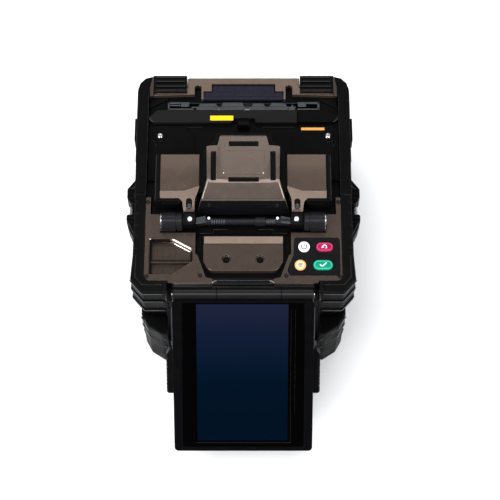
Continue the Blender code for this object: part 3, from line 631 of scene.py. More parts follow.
def build_deck():
    """The bronze deck with its front lip, parts tray, key plate and stage cover."""
    top = high("deck_panel").z
    skin = top - 3.2
    half = [
        (22.0, -79.6), (53.2, -79.6, 0.6), (53.2, -78.0), (70.0, -78.0, 4), (70.0, -13.2, 1),
        (66.7, -13.2), (66.7, -26.7), (59.7, -26.7), (59.7, -41.2), (34.2, -41.2), (34.2, -57.6, 1.0),
        (32.6, -58.4, 1.0), (26.6, -75.6, 1.2), (22.0, -76.6),
    ]
    for word, side in SIDES:
        opening = grown(KEYPAD if side > 0 else TRAY, 0.35)
        holes = [prism(opening, 0, TALL)]
        screws = [(68.2, -74.9), (30.4, -74.2), (68.6, -17.0)]
        wells = [turned([(-1.2, 1.5), (0.5, 2.0)], (x * side, y, top)) for x, y in screws]
        panel = prism(on_side(half, side), skin, top)
        names = ["deck_panel"] if side < 0 else []
        # The deck's darker bronze is painted shade.
        piece("deck_" + word, panel, "case", "deep_bronze", replaces=names, bevel=0.45,
              cuts=holes + wells)
        heads = [screw((x * side, y, top - 1.1), 1.35, 0.5) for x, y in screws]
        piece("deck_screws_" + word, merge(*heads), "case", "hinge_metal", bevel=0)
        wedge = [(22.0 * side, top - 0.1), (18.8 * side, top - 3.4), (22.0 * side, top - 3.4)]
        piece("deck_ramp_" + word, along_y(prism(wedge, -79.5, -76.7)), "case", "deep_bronze",
              bevel=0.1)
        # A near-white bead along the ramp's edge: a painted highlight.
        glint = [(21.8 * side, -79.4, top), (19.0 * side, -76.9, top - 2.9)]
        piece("ramp_glint_" + word, bead(glint, 0.34), "case", "painted_glint_bronze", bevel=0)
        skirt = box(spans(22.5, 69.4, side), (-77.8, -76.4), (118.0, skin - 0.2))
        piece("deck_skirt_" + word, skirt, "case", "case_plastic", bevel=0.3)

    lip = along_x(prism([(-74.6, 122.4), (-79.4, 122.4), (-80.6, 121.0), (-80.6, 118.4),
                         (-74.6, 118.4)], -21.6, 21.6))
    piece("front_lip", lip, "case", "keypad_lacquer", bevel=0.4)
    # A grey bead along the lip's front edge: a painted highlight.
    piece("lip_highlight_line", bead([(-18.4, -76.6, 122.5), (18.4, -76.6, 122.5)], 0.32), "case", "grey_metal",
          bevel=0)

    # The rear and the slanted rear wall lean outwards and catch the light.
    floor_z = low("parts_tray").z + 2.0
    leans = [-0.9, -3.0, -0.9, -0.9, -0.9, -0.9]
    chamfer_z = top - 3.0
    walls = prism(grown(TRAY, 0.1), low("parts_tray").z, top)
    hollow = prism(grown(TRAY, leans), floor_z, chamfer_z + 0.01)
    upper = at_height(grown(TRAY, -0.35), top + 0.01)
    chamfer = loft(at_height(grown(TRAY, leans), chamfer_z), upper)
    mouth = loft(upper, at_height(grown(TRAY, -0.35), top + 5))
    piece("tray_walls", walls, "case", "tray_plastic", replaces=["parts_tray"], bevel=0.15,
          cuts=[hollow, chamfer, mouth])
    start, end = Vector(TRAY[2]), Vector(TRAY[1])
    along = (end - start).normalized()
    inward = Vector((along.y, -along.x))
    # Near-white beads on the slanted wall's chamfer and at the rear corner: painted highlights.
    glints = []
    for offset, depth, radius in ((1.0, 0.4, 0.75), (2.7, 2.4, 0.42)):
        ends = (start + along * (1.2 * offset - 0.9) + inward * offset, end - along * 0.9 + inward * offset)
        glints.append(bead([(*p, top - depth) for p in ends], radius))
    glints.append(bead([(-66.2, -45.9, top), (-65.9, -46.1, top)], 0.75))
    piece("tray_glints", merge(*glints), "case", "painted_glint_bronze", bevel=0)
    # A bead of the lighter bronze paint along the tray's rear rim: a painted highlight.
    rear_rim_highlight = bead([(-65.4, -45.5, top), (-50.2, -45.5, top)], 0.36)
    piece("tray_rear_rim_highlight", rear_rim_highlight, "case", "bronze_paint", bevel=0)
    # Black beads along the tray's inner walls and above the divider: painted shade where the walls fall into
    # shadow.
    paths = (
        [(-65.6, -46.8), (-50.4, -46.8)],
        [(-65.8, -47.2), (-65.8, -71.4), (-64.6, -72.4)],
        [(-36.9, -54.8), (-36.9, -62.6), (-39.4, -64.8)],
        [(-65.2, -62.3), (-38.0, -62.3)],
    )
    shade_beads = [bead([(*p, floor_z + 3.2) for p in path], 0.62) for path in paths]
    piece("tray_shade_beads", merge(*shade_beads), "case", "case_plastic", bevel=0)
    ribs = [(x - 0.3, x + 0.3) for x in (-61.6, -57.2, -52.8, -48.4, -44.0, -39.6)]
    strips = []
    for x0, x1 in ribs:
        reach = -47.6 if x1 < -50 else -47.6 - (x1 + 50) * 0.62
        back = min(reach, -47.4)
        front = -72.0 if x1 < -50 else -72.0 + (x1 + 50) * 0.72
        strips.append(box((x0, x1), (front + 0.9, back - 2.6), (floor_z - 0.2, floor_z + 0.5)))
    piece("tray_ribs", merge(*strips), "case", "tray_plastic", bevel=0.2)
    piece("tray_divider", box((-65.6, -37.4), (-63.9, -62.8), (floor_z - 0.2, floor_z + 4.0)), "case",
          "tray_plastic", bevel=0.3)

    plate = prism(KEYPAD, 122.4, top + 0.4)
    holes = []
    for node in ("power_button", "reset_button", "heat_button", "set_button"):
        (x0, y0), (x1, y1) = low(node).xy, high(node).xy
        holes.append(prism(rectangle(x0 - 0.35, x1 + 0.35, y0 - 0.35, y1 + 0.35,
                                     (y1 - y0) / 2 + 0.34), 0, TALL))
    piece("keypad_face", plate, "case", "keypad_lacquer", replaces=["keypad_plate"],
          bevel=0.4, cuts=holes)
    piece("keypad_rim", bead([(*p, top + 0.1) for p in [(36.5, -44.9), (66.5, -44.9)]], 0.18), "case",
          "tray_plastic", bevel=0)

    build_keys()

    z = high("front_stage_cover").z
    wells = [turned([(-2.2, 3.0), (3, 3.0)], (x, -62, z)) for x in (-12, 12)]
    body = prism([(28.4, -50.3), (28.4, -63.5, 2), (24.5, -71.2, 7), (-24.5, -71.2, 7), (-28.4, -63.5, 2),
                  (-28.4, -50.3)], low("front_stage_cover").z, z)
    # The plate's darker bronze is painted shade.
    piece("stage_cover_plate", body, "case", "deep_bronze", replaces=["front_stage_cover"],
          bevel=0.4, cuts=wells)
    ridge = along_x(prism([(-50.2, z - 3), (-50.2, z + 0.05), (-45.0, z + 1.25), (-44.6, z + 1.0),
                           (-44.6, z - 3)], -28.0, 28.4))
    piece("stage_cover_ridge", ridge, "case", "bronze_paint", bevel=0.3)
    piece("cover_plate_screws", merge(*(screw((x, -62, z - 2.4), 2.4, 0.8) for x in (-12, 12))), "case",
          "case_plastic", bevel=0)


def build_keys():
    """The four key caps and the generic signs on them."""
    caps = (("power_button", "white_key", "power_key"), ("reset_button", "red_key", "reset_key"),
            ("heat_button", "orange_key", "heat_key"), ("set_button", "green_key", "set_key"))
    for node, slot, body in caps:
        (x0, y0, z0), (x1, y1, z1) = low(node), high(node)
        radius = (y1 - y0) / 2 - 0.01
        foot = at_height(rectangle(x0, x1, y0, y1, radius), z0)
        rim = at_height(rectangle(x0, x1, y0, y1, radius), z1 - 0.35)
        crown = at_height(rectangle(x0 + 0.6, x1 - 0.6, y0 + 0.6, y1 - 0.6, radius - 0.6), z1)
        cap = merge(loft(foot, rim), loft(rim, crown))
        piece(node + "_cap", cap, body, slot, replaces=[node], bevel=0)
        inset = {"red_key": "pink", "green_key": "mint"}.get(slot)
        if inset:
            outer = rectangle(x0 + 0.7, x1 - 0.7, y0 + 0.7, y1 - 0.7, radius - 0.7)
            inner = prism(rectangle(x0 + 1.25, x1 - 1.25, y0 + 1.25, y1 - 1.25,
                                    radius - 1.25), z1 - 1, z1 + 1)
            piece(node + "_ring", prism(outer, z1 - 0.3, z1 + 0.06), body, inset, bevel=0, cuts=[inner])

    z = high("power_button").z
    mark = (z - 0.2, z + 0.08)
    x, y = ((low("power_button") + high("power_button")) / 2).xy
    arc = ring_arc((x, y), 1.9, 0.7, 125, 415, mark)
    piece("power_symbol", merge(arc, stripe([(x, y + 0.4), (x, y + 2.5)], 0.65, mark)), "power_key",
          "symbol_grey", bevel=0)
    x, y = ((low("heat_button") + high("heat_button")) / 2).xy
    piece("heat_disc", turned([(-0.2, 2.75), (0.06, 2.75)], (x, y, z)), "heat_key", "cream",
          bevel=0)
    waves = []
    for row in (-1.1, 0.0, 1.1):
        points = [(x - 1.5 + 0.3 * i, y + row + 0.28 * math.sin(i * 1.25)) for i in range(11)]
        waves.append(stripe(points, 0.45, (z, z + 0.12)))
    piece("heat_symbol", merge(*waves), "heat_key", "symbol_grey", bevel=0)
    x, y = ((low("reset_button") + high("reset_button")) / 2).xy
    arc = ring_arc((x, y), 1.35, 0.5, -60, 210, mark)
    tip = prism([(x - 2.3, y - 0.9), (x - 0.3, y - 0.5), (x - 1.6, y + 0.9)], *mark)
    piece("reset_symbol", merge(arc, tip), "reset_key", "symbol_white", bevel=0)
    x, y = ((low("set_button") + high("set_button")) / 2).xy
    tick = stripe([(x - 2.0, y + 0.1), (x - 0.6, y - 1.3), (x + 2.2, y + 1.5)], 0.62, mark)
    piece("set_symbol", tick, "set_key", "symbol_white", bevel=0)


# ---------------------------------------------------------------- wind cover
CENTRE_BASE, CENTRE_TOP = 136.3, 149.0


def build_cover_centre():
    """The brown housing in the middle: a flat top, a slope with bright shoulders and a steep dark front."""
    profile = [
        (-27.2, 127.0), (-22.4, 127.0),
        (-14.3, CENTRE_BASE),
        (26.4, CENTRE_BASE),
        (26.4, 146.9),
        (24.4, CENTRE_TOP),
        (-9.6, CENTRE_TOP),
        (-12.6, 148.1), (-21.2, 141.6), (-22.2, 140.2),
    ]
    body = along_x(prism(profile, -34.0, 34.0))
    beside = [
        (70.0, -45.0), (70.0, 45.0), (14.5, 45.0), (16.4, 26.0, 1.5), (18.4, 17.3, 0.5), (26.3, 16.6, 1.0),
        (25.7, -10.0), (29.6, -21.0), (33.6, -27.5), (34.6, -45.0),
    ]
    cuts = [prism(on_side(beside, side), 0, TALL) for _, side in SIDES]
    cuts.append(box((-22.5, 22.5), (-8.5, 14.0), (0, CENTRE_TOP - 2.2)))
    deep = (CENTRE_TOP - 1.6, CENTRE_TOP + 5)
    cuts.append(prism(rectangle(-10.4, 11.0, 16.4, 20.6, 0.5), *deep))
    cuts.append(prism(rectangle(-10.6, 11.2, -11.6, -8.0, 0.5), CENTRE_TOP - 2.4, CENTRE_TOP + 5))
    cuts += [prism(rectangle(*spans(19.2, 23.3, side), -10.6, 12.6, 0.8), *deep) for _, side in SIDES]
    frame_line = rectangle(-15.4, 15.6, -6.3, 13.2, 1.2)
    cuts.append(prism(frame_line, CENTRE_TOP - 0.35, CENTRE_TOP + 5))
    piece("cover_centre", body, "wind_cover", "light_bronze", replaces=["wind_cover_centre"],
          bevel=0.35, cuts=cuts)
    edges = merge(*(bead([(25.4 * side, -11.6, 148.2), (29.2 * side, -21.2, 141.4)],
                         0.6) for _, side in SIDES))
    piece("cover_edges", edges, "wind_cover", "bronze_paint", bevel=0)
    badge = prism(rectangle(-14.9, 15.1, -5.8, 12.7, 1.0), CENTRE_TOP - 0.5, CENTRE_TOP - 0.02)
    piece("badge_plate", badge, "wind_cover", "light_bronze", bevel=0.15)
    dots = [turned([(-0.1, 0.4), (0.25, 0.3)], (x, -5.0, CENTRE_TOP), steps=12) for x in (-14.0, 14.3)]
    piece("badge_dots", merge(*dots), "wind_cover", "symbol_white", bevel=0)
    inserts = [box((-10.2, 10.8), (16.6, 20.4), (CENTRE_TOP - 2, CENTRE_TOP - 1.0)),
               box((-10.4, 11.0), (-11.2, -8.2), (CENTRE_TOP - 3, CENTRE_TOP - 2.1))]
    inserts += [box(spans(19.4, 23.1, side), (-10.4, 12.4), (CENTRE_TOP - 2, CENTRE_TOP - 1.2)) for _,
                side in SIDES]
    piece("slot_inserts", merge(*inserts), "wind_cover", "cover_plastic", bevel=0.2)
    front = along_x(prism([(-27.6, 127.0), (-27.2, 127.0), (-21.9, 139.8), (-22.5, 139.9)], -33.0, 33.0))
    sides = [prism(on_side([(70, -45), (70, 45), (29.0, 45), (29.0, -20.9), (33.3, -27.4), (34.4, -45)],
                           side), 0, TALL) for _, side in SIDES]
    piece("cover_front_face", front, "wind_cover", "keypad_lacquer", bevel=0.15, cuts=sides)


def wing_height(x, y):
    """The wing's top: nearly flat, then falling away towards its front."""
    return 138.7 - 0.0032 * max(0.0, 6.0 - y) ** 2


def brow_height(x, y):
    """The brow's top: a slope down to the flat foot over the hinge arm."""
    return max(136.7, 138.3 + (y + 13.9) * 0.36)


def build_wings():
    """The two bronze wing panels, each with a brow in front of it."""
    for word, side in SIDES:
        rear, split = 15.2, -13.9
        columns = [31.6, 36.0, 42.0, 50.0, 59.5]
        splits = [-10.6, -12.3, split, split, split]
        rows = 9
        points, faces = [], []
        for z_of in (wing_height, lambda x, y: 136.3):
            for row in range(rows + 1):
                for x, front in zip(columns, splits):
                    y = rear + (front - rear) * row / rows
                    points.append((x * side, y, z_of(x, y)))
        wide = len(columns)
        layer = wide * (rows + 1)
        for row in range(rows):
            for col in range(wide - 1):
                a = row * wide + col
                faces.append([a, a + 1, a + wide + 1, a + wide])
                faces.append([layer + i for i in (a, a + wide, a + wide + 1, a + 1)])
        edge = list(range(wide)) + [row * wide + wide - 1 for row in range(1, rows + 1)]
        edge += [rows * wide + col for col in range(wide - 2, -1, -1)] + [row * wide
                                                                          for row in range(rows - 1, 0, -1)]
        for a, b in zip(edge, edge[1:] + edge[:1]):
            faces.append([a, b, layer + b, layer + a])
        piece("wing_" + word, (points, faces), "wind_cover", "bronze_paint", replaces=["wing_panel_" + word],
              bevel=0.3)

        brow = [
            (59.5, -13.9), (42.0, -13.9), (31.6, -10.6), (31.6, -12.2), (34.6, -19.6, 1),
            (34.8, -29.4, 0.8), (42.4, -29.4, 0.8), (43.4, -21.6, 1.2), (46.0, -18.8, 1.2),
            (59.5, -18.8, 0.6),
        ]
        holes = [turned([(-9, 2.3), (3, 2.3)], (38.6 * side, y, 137.0)) for y in (-25.0, -23.2, -21.4)]
        piece("wing_brow_" + word, prism(on_side(brow, side), 136.1, brow_height),
              "wind_cover", "bronze_paint", bevel=0.3, cuts=holes)
        piece("wing_screw_" + word, screw((38.6 * side, -24.6, 136.0), 1.8, 0.6), "wind_cover", "grey_metal",
              bevel=0)


def build_cover_frame():
    """Raised rails and small fittings on the black frame of the cover."""
    top = high("wind_cover_frame").z
    for word, side in SIDES:
        rail = prism(on_side([(60.1, -20.0), (62.9, -20.4), (62.9, 16.0), (30.6, 16.0), (30.6, 15.6),
                              (60.1, 15.6)], side), top - 0.2, top + 1.7)
        piece("cover_rail_" + word, rail, "wind_cover", "cover_plastic", bevel=0.5)
        line = bead([(62.7 * side, -21.0, top + 1.5), (62.7 * side, 15.0, top + 1.5)], 0.22)
        piece("cover_line_" + word, line, "wind_cover", "grey_metal", bevel=0)
        web = prism(on_side([(44.6, -20.8), (58.6, -20.8), (58.6, -21.8), (46.0, -21.8)], side), 126.0, 134.0)
        piece("cover_web_" + word, web, "wind_cover", "cover_plastic", bevel=0.3)
    pad = prism(symmetric([(18.0, 27.4), (17.0, 32.4, 1)]), top - 0.2, top + 1.2)
    piece("cover_rear_pad", pad, "wind_cover", "cover_plastic", bevel=0.4)
    lamps = [turned([(0, 2.4), (-1.2, 2.2), (-2.0, 1.4), (-2.3, 0.02)], (x, 2.0, low("lamp_board").z + 0.1))
             for x in (-12, 12)]
    piece("lamp_domes", merge(*lamps), "wind_cover", "ceramic", bevel=0)


# ---------------------------------------------------------------- hinge row in front of the cover
def build_hinge_row():
    """The shaft in front of the cover, with its dampers, knuckles and apron."""
    y, z = (JOINT_AT["wind_cover_hinge"] / MM).yz
    for word, side in SIDES:
        radius = (high("hinge_damper_right").z - low("hinge_damper_right").z) / 2
        profile = [(43.2, radius - 1.2), (43.9, radius - 0.4), (47.0, radius - 0.4), (47.2, radius - 0.9),
                   (48.0, radius - 0.9),
                   (48.2, radius), (57.4, radius), (57.8, radius - 0.5), (58.0, radius - 0.5)]
        drum = turned(profile, (0, y, z), "X", 48)
        flip = Matrix.Scale(side, 4, (1, 0, 0))
        piece("damper_drum_" + word, moved(drum, flip), "case", "hinge_metal",
              replaces=["hinge_damper_" + word], bevel=0)
        ring = turned([(57.9, radius - 0.3), (58.1, radius), (58.8, radius), (59.0, radius - 0.3)],
                      (0, y, z), "X", 48)
        piece("drum_ring_" + word, moved(ring, flip), "case", "steel", bevel=0)
        cradle = box(spans(45.0, 57.0, side), (y - 8.4, y + 6.0), (121.6, z - 4.6))
        piece("drum_cradle_" + word, cradle, "case", "case_plastic", bevel=0.5)
        cap = turned([(-3.0, 4.3), (0.4, 4.3), (1.0, 3.7), (1.0, 2.9), (0.4, 2.7)], (0, 0, 0), "Z", 32)
        tilt = Matrix.Translation((37.9 * side, y - 0.6, z + 6.0)) @ Matrix.Rotation(math.radians(18), 4, "X")
        piece("knuckle_cap_" + word, moved(cap, tilt), "wind_cover", "cover_plastic", bevel=0)
        piece("knuckle_screw_" + word, moved(screw((0, 0, 0.5), 2.0, 0.9), tilt), "wind_cover", "steel",
              bevel=0)
        link = [(-33.9, 1.6), (-27.4, 3.0), (-26.6, 3.0), (-26.6, -2.4), (-33.9, -3.6)]
        arm = prism(link, -2.2, 2.6)
        place = Matrix.Translation((0, y + 0.6, z)) @ (Matrix.Scale(-1, 4, (1, 0, 0))
                                                       if side > 0 else Matrix())
        piece("shaft_arm_" + word, moved(arm, place), "wind_cover", "grey_metal", bevel=0.5)
    profile = [(-33.0, 2.6), (-24.0, 2.6), (-23.8, 2.3), (8.6, 2.3), (8.8, 3.4), (15.6, 3.4), (15.8, 2.3),
               (24.4, 2.3), (24.6, 2.8), (33.0, 2.8)]
    piece("shaft_sleeve", turned(profile, (0, y, z), "X", 32), "case", "hinge_metal", bevel=0)
    pins = [turned([(0, 0.9), (1.4, 0.9), (1.7, 0.5)], (x, y + 1.4, z + 2.0), steps=16)
            for x in (-24.5, 24.5)]
    piece("sleeve_pins", merge(*pins), "case", "symbol_white", bevel=0)
    coils = [turned([(x, 2.35), (x + 0.2, 2.62), (x + 1.0, 2.62), (x + 1.2, 2.35)], (0, y, z), "X", 24)
             for x in [-22.8 + 1.7 * i for i in range(6)] + [16.4 + 1.3 * i for i in range(5)]]
    piece("shaft_coils", merge(*coils), "case", "grey_metal", bevel=0)
    apron = symmetric([(32.0, -40.6), (32.0, -34.5)])
    piece("hinge_apron", prism(apron, 121.8, 123.0), "case", "case_plastic", bevel=0.4)
    lines = []
    for side in (-1, 1):
        steps = [(31.4 * side, -40.3), (21.4 * side, -40.3), (21.4 * side, -37.2), (11.0 * side, -37.2)]
        lines.append(bead([(x, y0, 123.0) for x, y0 in steps], 0.2))
    piece("apron_lines", merge(*lines), "case", "grey_metal", bevel=0)


# ---------------------------------------------------------------- heater and the back of the deck
def trim_floor():
    """The underside of the trim behind the heater."""
    return low("rear_trim").z


def build_rear():
    """The heater, its lid and the trim behind it."""
    frame_top = high("top_frame").z
    bar_low, bar_top = low("heater_front_bar").z, high("heater_front_bar").z
    main = [(-66.8, 48.2), (-8.6, 48.2), (-8.6, 51.6), (8.6, 51.6), (8.6, 48.2), (39.8, 48.2), (39.8, 58.8),
            (-63.5, 58.8), (-69.6, 53.0), (-69.6, 50.8)]
    piece("heater_bar", prism(main, bar_low, bar_top), "case", "bar_plastic", replaces=["heater_front_bar"],
          bevel=0.8)
    end = [(40.1, 48.6), (66.8, 48.6), (69.6, 50.8), (69.6, 53.0), (63.5, 58.6), (40.1, 58.6)]
    piece("heater_bar_end", prism(end, bar_low, bar_top - 0.4), "case", "case_plastic", bevel=0.6)
    for word, side in SIDES:
        corner = bead([(66.6 * side, 48.6, bar_top - 0.5), (69.3 * side, 51.0, bar_top - 0.5),
                       (69.3 * side, 53.0, bar_top - 0.5)], 0.35)
        piece("bar_corner_" + word, corner, "case", "grey_metal", bevel=0)
    piece("yellow_strip", box((-24.6, -7.5), (49.6, 53.6), (bar_top - 0.2, bar_top + 0.15)), "case",
          "yellow_label", bevel=0.05)
    piece("orange_strip", box((42.6, 59.8), (43.2, 45.4), (frame_top + 0.7, frame_top + 1.05)), "case",
          "orange_label", bevel=0.05)
    hook = along_x(prism([(44.2, 125.2), (50.8, 125.2), (50.8, 127.2, 0.6), (46.6, 127.8, 0.6),
                          (44.2, 126.8)], -3.4, 4.4))
    piece("latch_hook", hook, "case", "grey_metal", bevel=0.3)
    piece("frame_screws", merge(*(screw((x, 38.7, frame_top + 0.9), 2.1, 0.9) for x in (-61.4, 62.3))),
          "case", "steel", bevel=0)
    pads = [prism(on_side([(40.0, 22.0), (66.4, 22.0), (66.4, 47.2), (41.0, 47.2), (41.0, 43.0), (36.0, 40.0),
                           (36.0, 22.0)], side), frame_top - 0.2, frame_top + 0.9) for _, side in SIDES]
    piece("rear_shelves", merge(*pads), "case", "case_plastic", bevel=0.4)
    small = [(-66.0, 34.0), (-64.4, 30.6), (-61.0, 33.8), (62.0, 33.6), (65.6, 33.8), (66.4, 30.4)]
    piece("frame_rivets",
          merge(*(turned([(0, 0.7), (0.5, 0.5)], (x, y, frame_top + 0.9), steps=12) for x, y in small)),
          "case", "bar_plastic", bevel=0)
    ledges = merge(*(box(x, (45.6, 46.2), (frame_top, frame_top + 0.7))
                     for x in ((-54.0, -30.0), (-62.0, -58.0), (14.0, 38.0))))
    piece("frame_ledges", ledges, "case", "bar_plastic", bevel=0.15)

    z = high("heater_trough").z
    rails = []
    for side, inner in ((-1, 36.8), (1, 40.0)):
        for near, far, y, rise in (
            (40.0, 56.4, (65.2, 66.8), 0.6),
            (inner, 56.4, (60.2, 61.5), 0.6),
            (54.8, 56.4, (60.2, 66.8), 0.6),
            (40.4, 46.6, (62.6, 66.2), 1.0),
        ):
            rails.append(box(spans(near, far, side), y, (z - 1, z + rise)))
    piece("heater_rails", merge(*rails), "case", "grey_metal", bevel=0.25)
    clamps = []
    for x0, x1, y1 in ((-35.0, -18.5, 65.6), (-18.0, 1.0, 67.0), (4.4, 16.8, 65.8), (18.0, 33.0, 66.4),
                       (33.6, 38.4, 65.0)):
        clamps.append(box((x0, x1), (59.8, 62.6), (z - 1.8, z)))
        clamps.append(prism([(x0 + 1.4, 63.0), (x1 - 0.4, 63.0), (x1 - 2.2, y1), (x0 + 2.8, y1)],
                            z - 1.8, z + 0.25))
    piece("heater_clamps", merge(*clamps), "case", "grey_metal", bevel=0.3)
    backing = box((-41.2, 41.2), (78.2, 84.4), (112.0, trim_floor() - 0.15))
    piece("rear_backing", backing, "case", "case_plastic", bevel=0.4)
    rods = [bar((-38.6, 63.0, z - 1.0), (39.0, 63.0, z - 1.0), 0.8),
            bar((-55.0, 64.0, z + 0.2), (-47.0, 64.0, z + 0.2), 0.7)]
    piece("heater_rods", merge(*rods), "case", "grey_metal", bevel=0)

    lid_top = high("heater_lid").z
    y0, y1 = JOINT_AT["heater_lid_hinge"].y / MM, high("heater_lid").y
    plate = prism(symmetric([(29.3, y0 + 1.0), (29.3, 73.4, 1), (22.9, 73.4), (22.9, y1, 1)]),
                  low("heater_lid").z, lid_top - 0.3)
    roll = turned([(-29.4, 1.2), (-29.0, 1.6), (29.0, 1.6), (29.4, 1.2)],
                  (0, y0, JOINT_AT["heater_lid_hinge"].z / MM), "X", 32)
    bores = [turned([(-40, 0.95), (40, 0.95)], (0, y0, JOINT_AT["heater_lid_hinge"].z / MM), "X", 20)]
    piece("lid_plate", merge(plate), "heater_lid", "lid_plastic", replaces=["heater_lid"], bevel=0.3)
    piece("lid_roll", roll, "heater_lid", "lid_plastic", bevel=0, cuts=bores)
    ribs = [box((x - 0.35, x + 0.35), (y0 + 2.2, y1 - 0.8), (lid_top - 0.5, lid_top))
            for x in (-20.0, -13.6, -7.0, 0.4, 7.2, 13.8, 20.2)]
    ribs.append(box((-22.4, 22.4), (73.6, 74.2), (lid_top - 0.5, lid_top)))
    piece("lid_ribs", merge(*ribs), "heater_lid", "lid_plastic", bevel=0.15)

    trim_top, trim_low = high("rear_trim").z, low("rear_trim").z
    half = [
        (23.5, 80.4), (23.5, 74.2), (31.5, 74.2), (31.5, 79.4, 2.3), (36.2, 79.4, 2.3), (36.2, 71.4),
        (66.8, 70.4, 1), (69.4, 70.4), (69.4, 76.8, 2), (41.6, 77.2), (41.6, 85.5, 1),
    ]
    ears = []
    for _, side in SIDES:
        ears.append(box(spans(29.8, 31.3, side), (y0 - 1.6, 74.6), (trim_low, trim_top - 0.2)))
        ears.append(bar((24.0 * side, y0, JOINT_AT["heater_lid_hinge"].z / MM),
                        (30.5 * side, y0, JOINT_AT["heater_lid_hinge"].z / MM), 0.8))
    piece("rear_trim_plate", prism(symmetric(half), trim_low, trim_top), "case", "bronze_paint",
          replaces=["rear_trim"], bevel=0.45)
    piece("lid_ears", merge(*ears), "case", "bronze_paint", bevel=0.1)
    for word, side in SIDES:
        cheek = prism(on_side([(66.9, 69.2), (69.4, 68.6), (69.4, 76.0), (67.6, 84.6), (66.6, 84.6)], side),
                      126.6, lambda x, y: 129.8 - 0.06 * (84.6 - y))
        piece("trim_cheek_" + word, cheek, "case", "tray_plastic", bevel=0.3)
        line = bead([(64.6 * side, 72.0, trim_top + 0.4), (43.0 * side, 72.0, trim_top + 0.4)], 0.42)
        piece("trim_line_" + word, line, "case", "bronze_paint", bevel=0)
        guard = prism(on_side([(56.0, 68.6), (68.0, 62.4), (69.4, 60.2), (69.4, 69.6), (56.0, 70.2)], side),
                      frame_top - 0.2, frame_top + 1.6)
        piece("corner_guard_" + word, guard, "case", "case_plastic", bevel=0.5)


# ---------------------------------------------------------------- rubber dampers
def side_band(outline, z0, z1, proud):
    """A raised strip that follows an outline round the outside of a damper."""
    points = rounded(outline, 6)
    outer, inner = [], []
    for i, here in enumerate(points):
        before = points[max(i - 1, 0)]
        after = points[min(i + 1, len(points) - 1)]
        along = (after - before).normalized()
        across = Vector((along.y, -along.x))
        outer.append(here + across * proud)
        inner.append(here - across * 1.2)
    return prism([tuple(p) for p in outer + inner[::-1]], z0, z1)


def build_upper_dampers():
    """Bands, ridges, ribs and screws on the upper corner dampers."""
    front_path = [(55.0, -87.0), (71.0, -87.0, 2.5), (79.5, -77.0, 2.5), (78.2, -58.0), (78.2, -40.0)]
    rear_path = [(78.4, 17.0), (78.4, 86.5, 11.0), (44.0, 86.5)]
    for word, side in SIDES:
        node = "upper_front_damper_" + word
        for number, (z0, z1,
                     proud) in enumerate(((90.4, 93.4, 0.9), (106.0, 110.0, 0.9), (121.6, 124.6, 0.45))):
            band = flipped(side_band(front_path, z0, z1, proud), side)
            piece(f"front_band_{number}_{word}", band, BODY_OF[node], "rubber_damper", bevel=0.4)
        for number, (z0, z1) in enumerate(((92.0, 96.0), (106.0, 111.0), (120.0, 123.4))):
            band = flipped(side_band(rear_path, z0, z1, 0.6), side)
            piece(f"rear_band_{number}_{word}", band, BODY_OF[node], "rubber_damper", bevel=0.4)
        top = high(node).z
        ridge = [(57.0, -81.4), (71.2, -81.4), (76.2, -75.6), (76.2, -59.0)]
        piece("damper_ridge_" + word, bead([(x * side, y, top + 0.1) for x, y in ridge], 0.55), "case",
              "rubber_damper", bevel=0)
        # Thin grey beads along the dampers' band edges: painted highlights.
        edges = [bead([(x * side, y, z) for x, y in ((57.0, -87.8), (71.2, -87.9), (80.4, -77.2))], 0.3)
                 for z in (124.2, 110.0, 93.4)]
        piece("damper_highlight_lines_" + word, merge(*edges), "case", "grey_metal", bevel=0)
        post = box(spans(54.4, 56.2, side), (-86.2, -79.6), (top - 1, top + 1.4))
        piece("damper_post_" + word, post, "case", "rubber_damper", bevel=0.5)
        wall = [box(spans(75.4, 77.4, side), (y, y + 2.2), (top - 0.6, top + 0.5))
                for y in range(-54, -16, 9)]
        piece("damper_studs_" + word, merge(*wall), "case", "rubber_damper", bevel=0.35)

        rows = []
        for y0, y1, z1 in ((73.0, 74.6, 129.6), (76.0, 78.4, 130.3), (80.0, 82.4, 130.5),
                           (83.6, 85.6, 129.8)):
            rows.append(along_x(prism([(y0, 127.4), (y1, 127.4), (y1 - 0.3, z1, 0.4), (y0 + 0.3, z1, 0.4)],
                                      *spans(42.4, 65.6, side))))
        piece("pad_ribs_" + word, merge(*rows), "case", "rubber_damper", bevel=0.25)
        # Grey beads along the tops of the pad ribs: painted highlights.
        lines = [bead([(x * side, y, z) for x in (43.4, 64.6)], 0.24)
                 for y, z in ((73.3, 129.7), (76.3, 130.4), (80.3, 130.6), (83.9, 129.9))]
        piece("pad_highlight_lines_" + word, merge(*lines), "case", "bar_grey", bevel=0)

        lug_top = high("strap_bar_right").z + 5.2
        ribs = [box(spans(80.5, 85.6, side), (y, y + 1.2), (lug_top - 0.4, lug_top + 0.9))
                for y in (-3.4, 0.2, 3.8, -23.0, -19.4)]
        piece("lug_ribs_" + word, merge(*ribs), "case", "rubber_damper", bevel=0.3)
        # Grey beads on the lug's arc and wedge edge: painted highlights.
        arc = bead([(x * side, y, lug_top + 0.1) for x, y in ((79.4, 9.6), (80.6, 6.4), (83.4, 4.8))], 0.35)
        strut = bead([(x * side, y, lug_top + 0.1) for x, y in ((84.6, -21.8), (79.2, -33.8))], 0.4)
        piece("lug_highlight_lines_" + word, merge(arc, strut), "case", "grey_metal", bevel=0)
        fixings = [wall_screw((78.2 * side, y, 96.0), 2.2, side) for y in (-66.0, 66.0)]
        piece("damper_screws_" + word, merge(*fixings), "case", "hinge_metal", bevel=0)


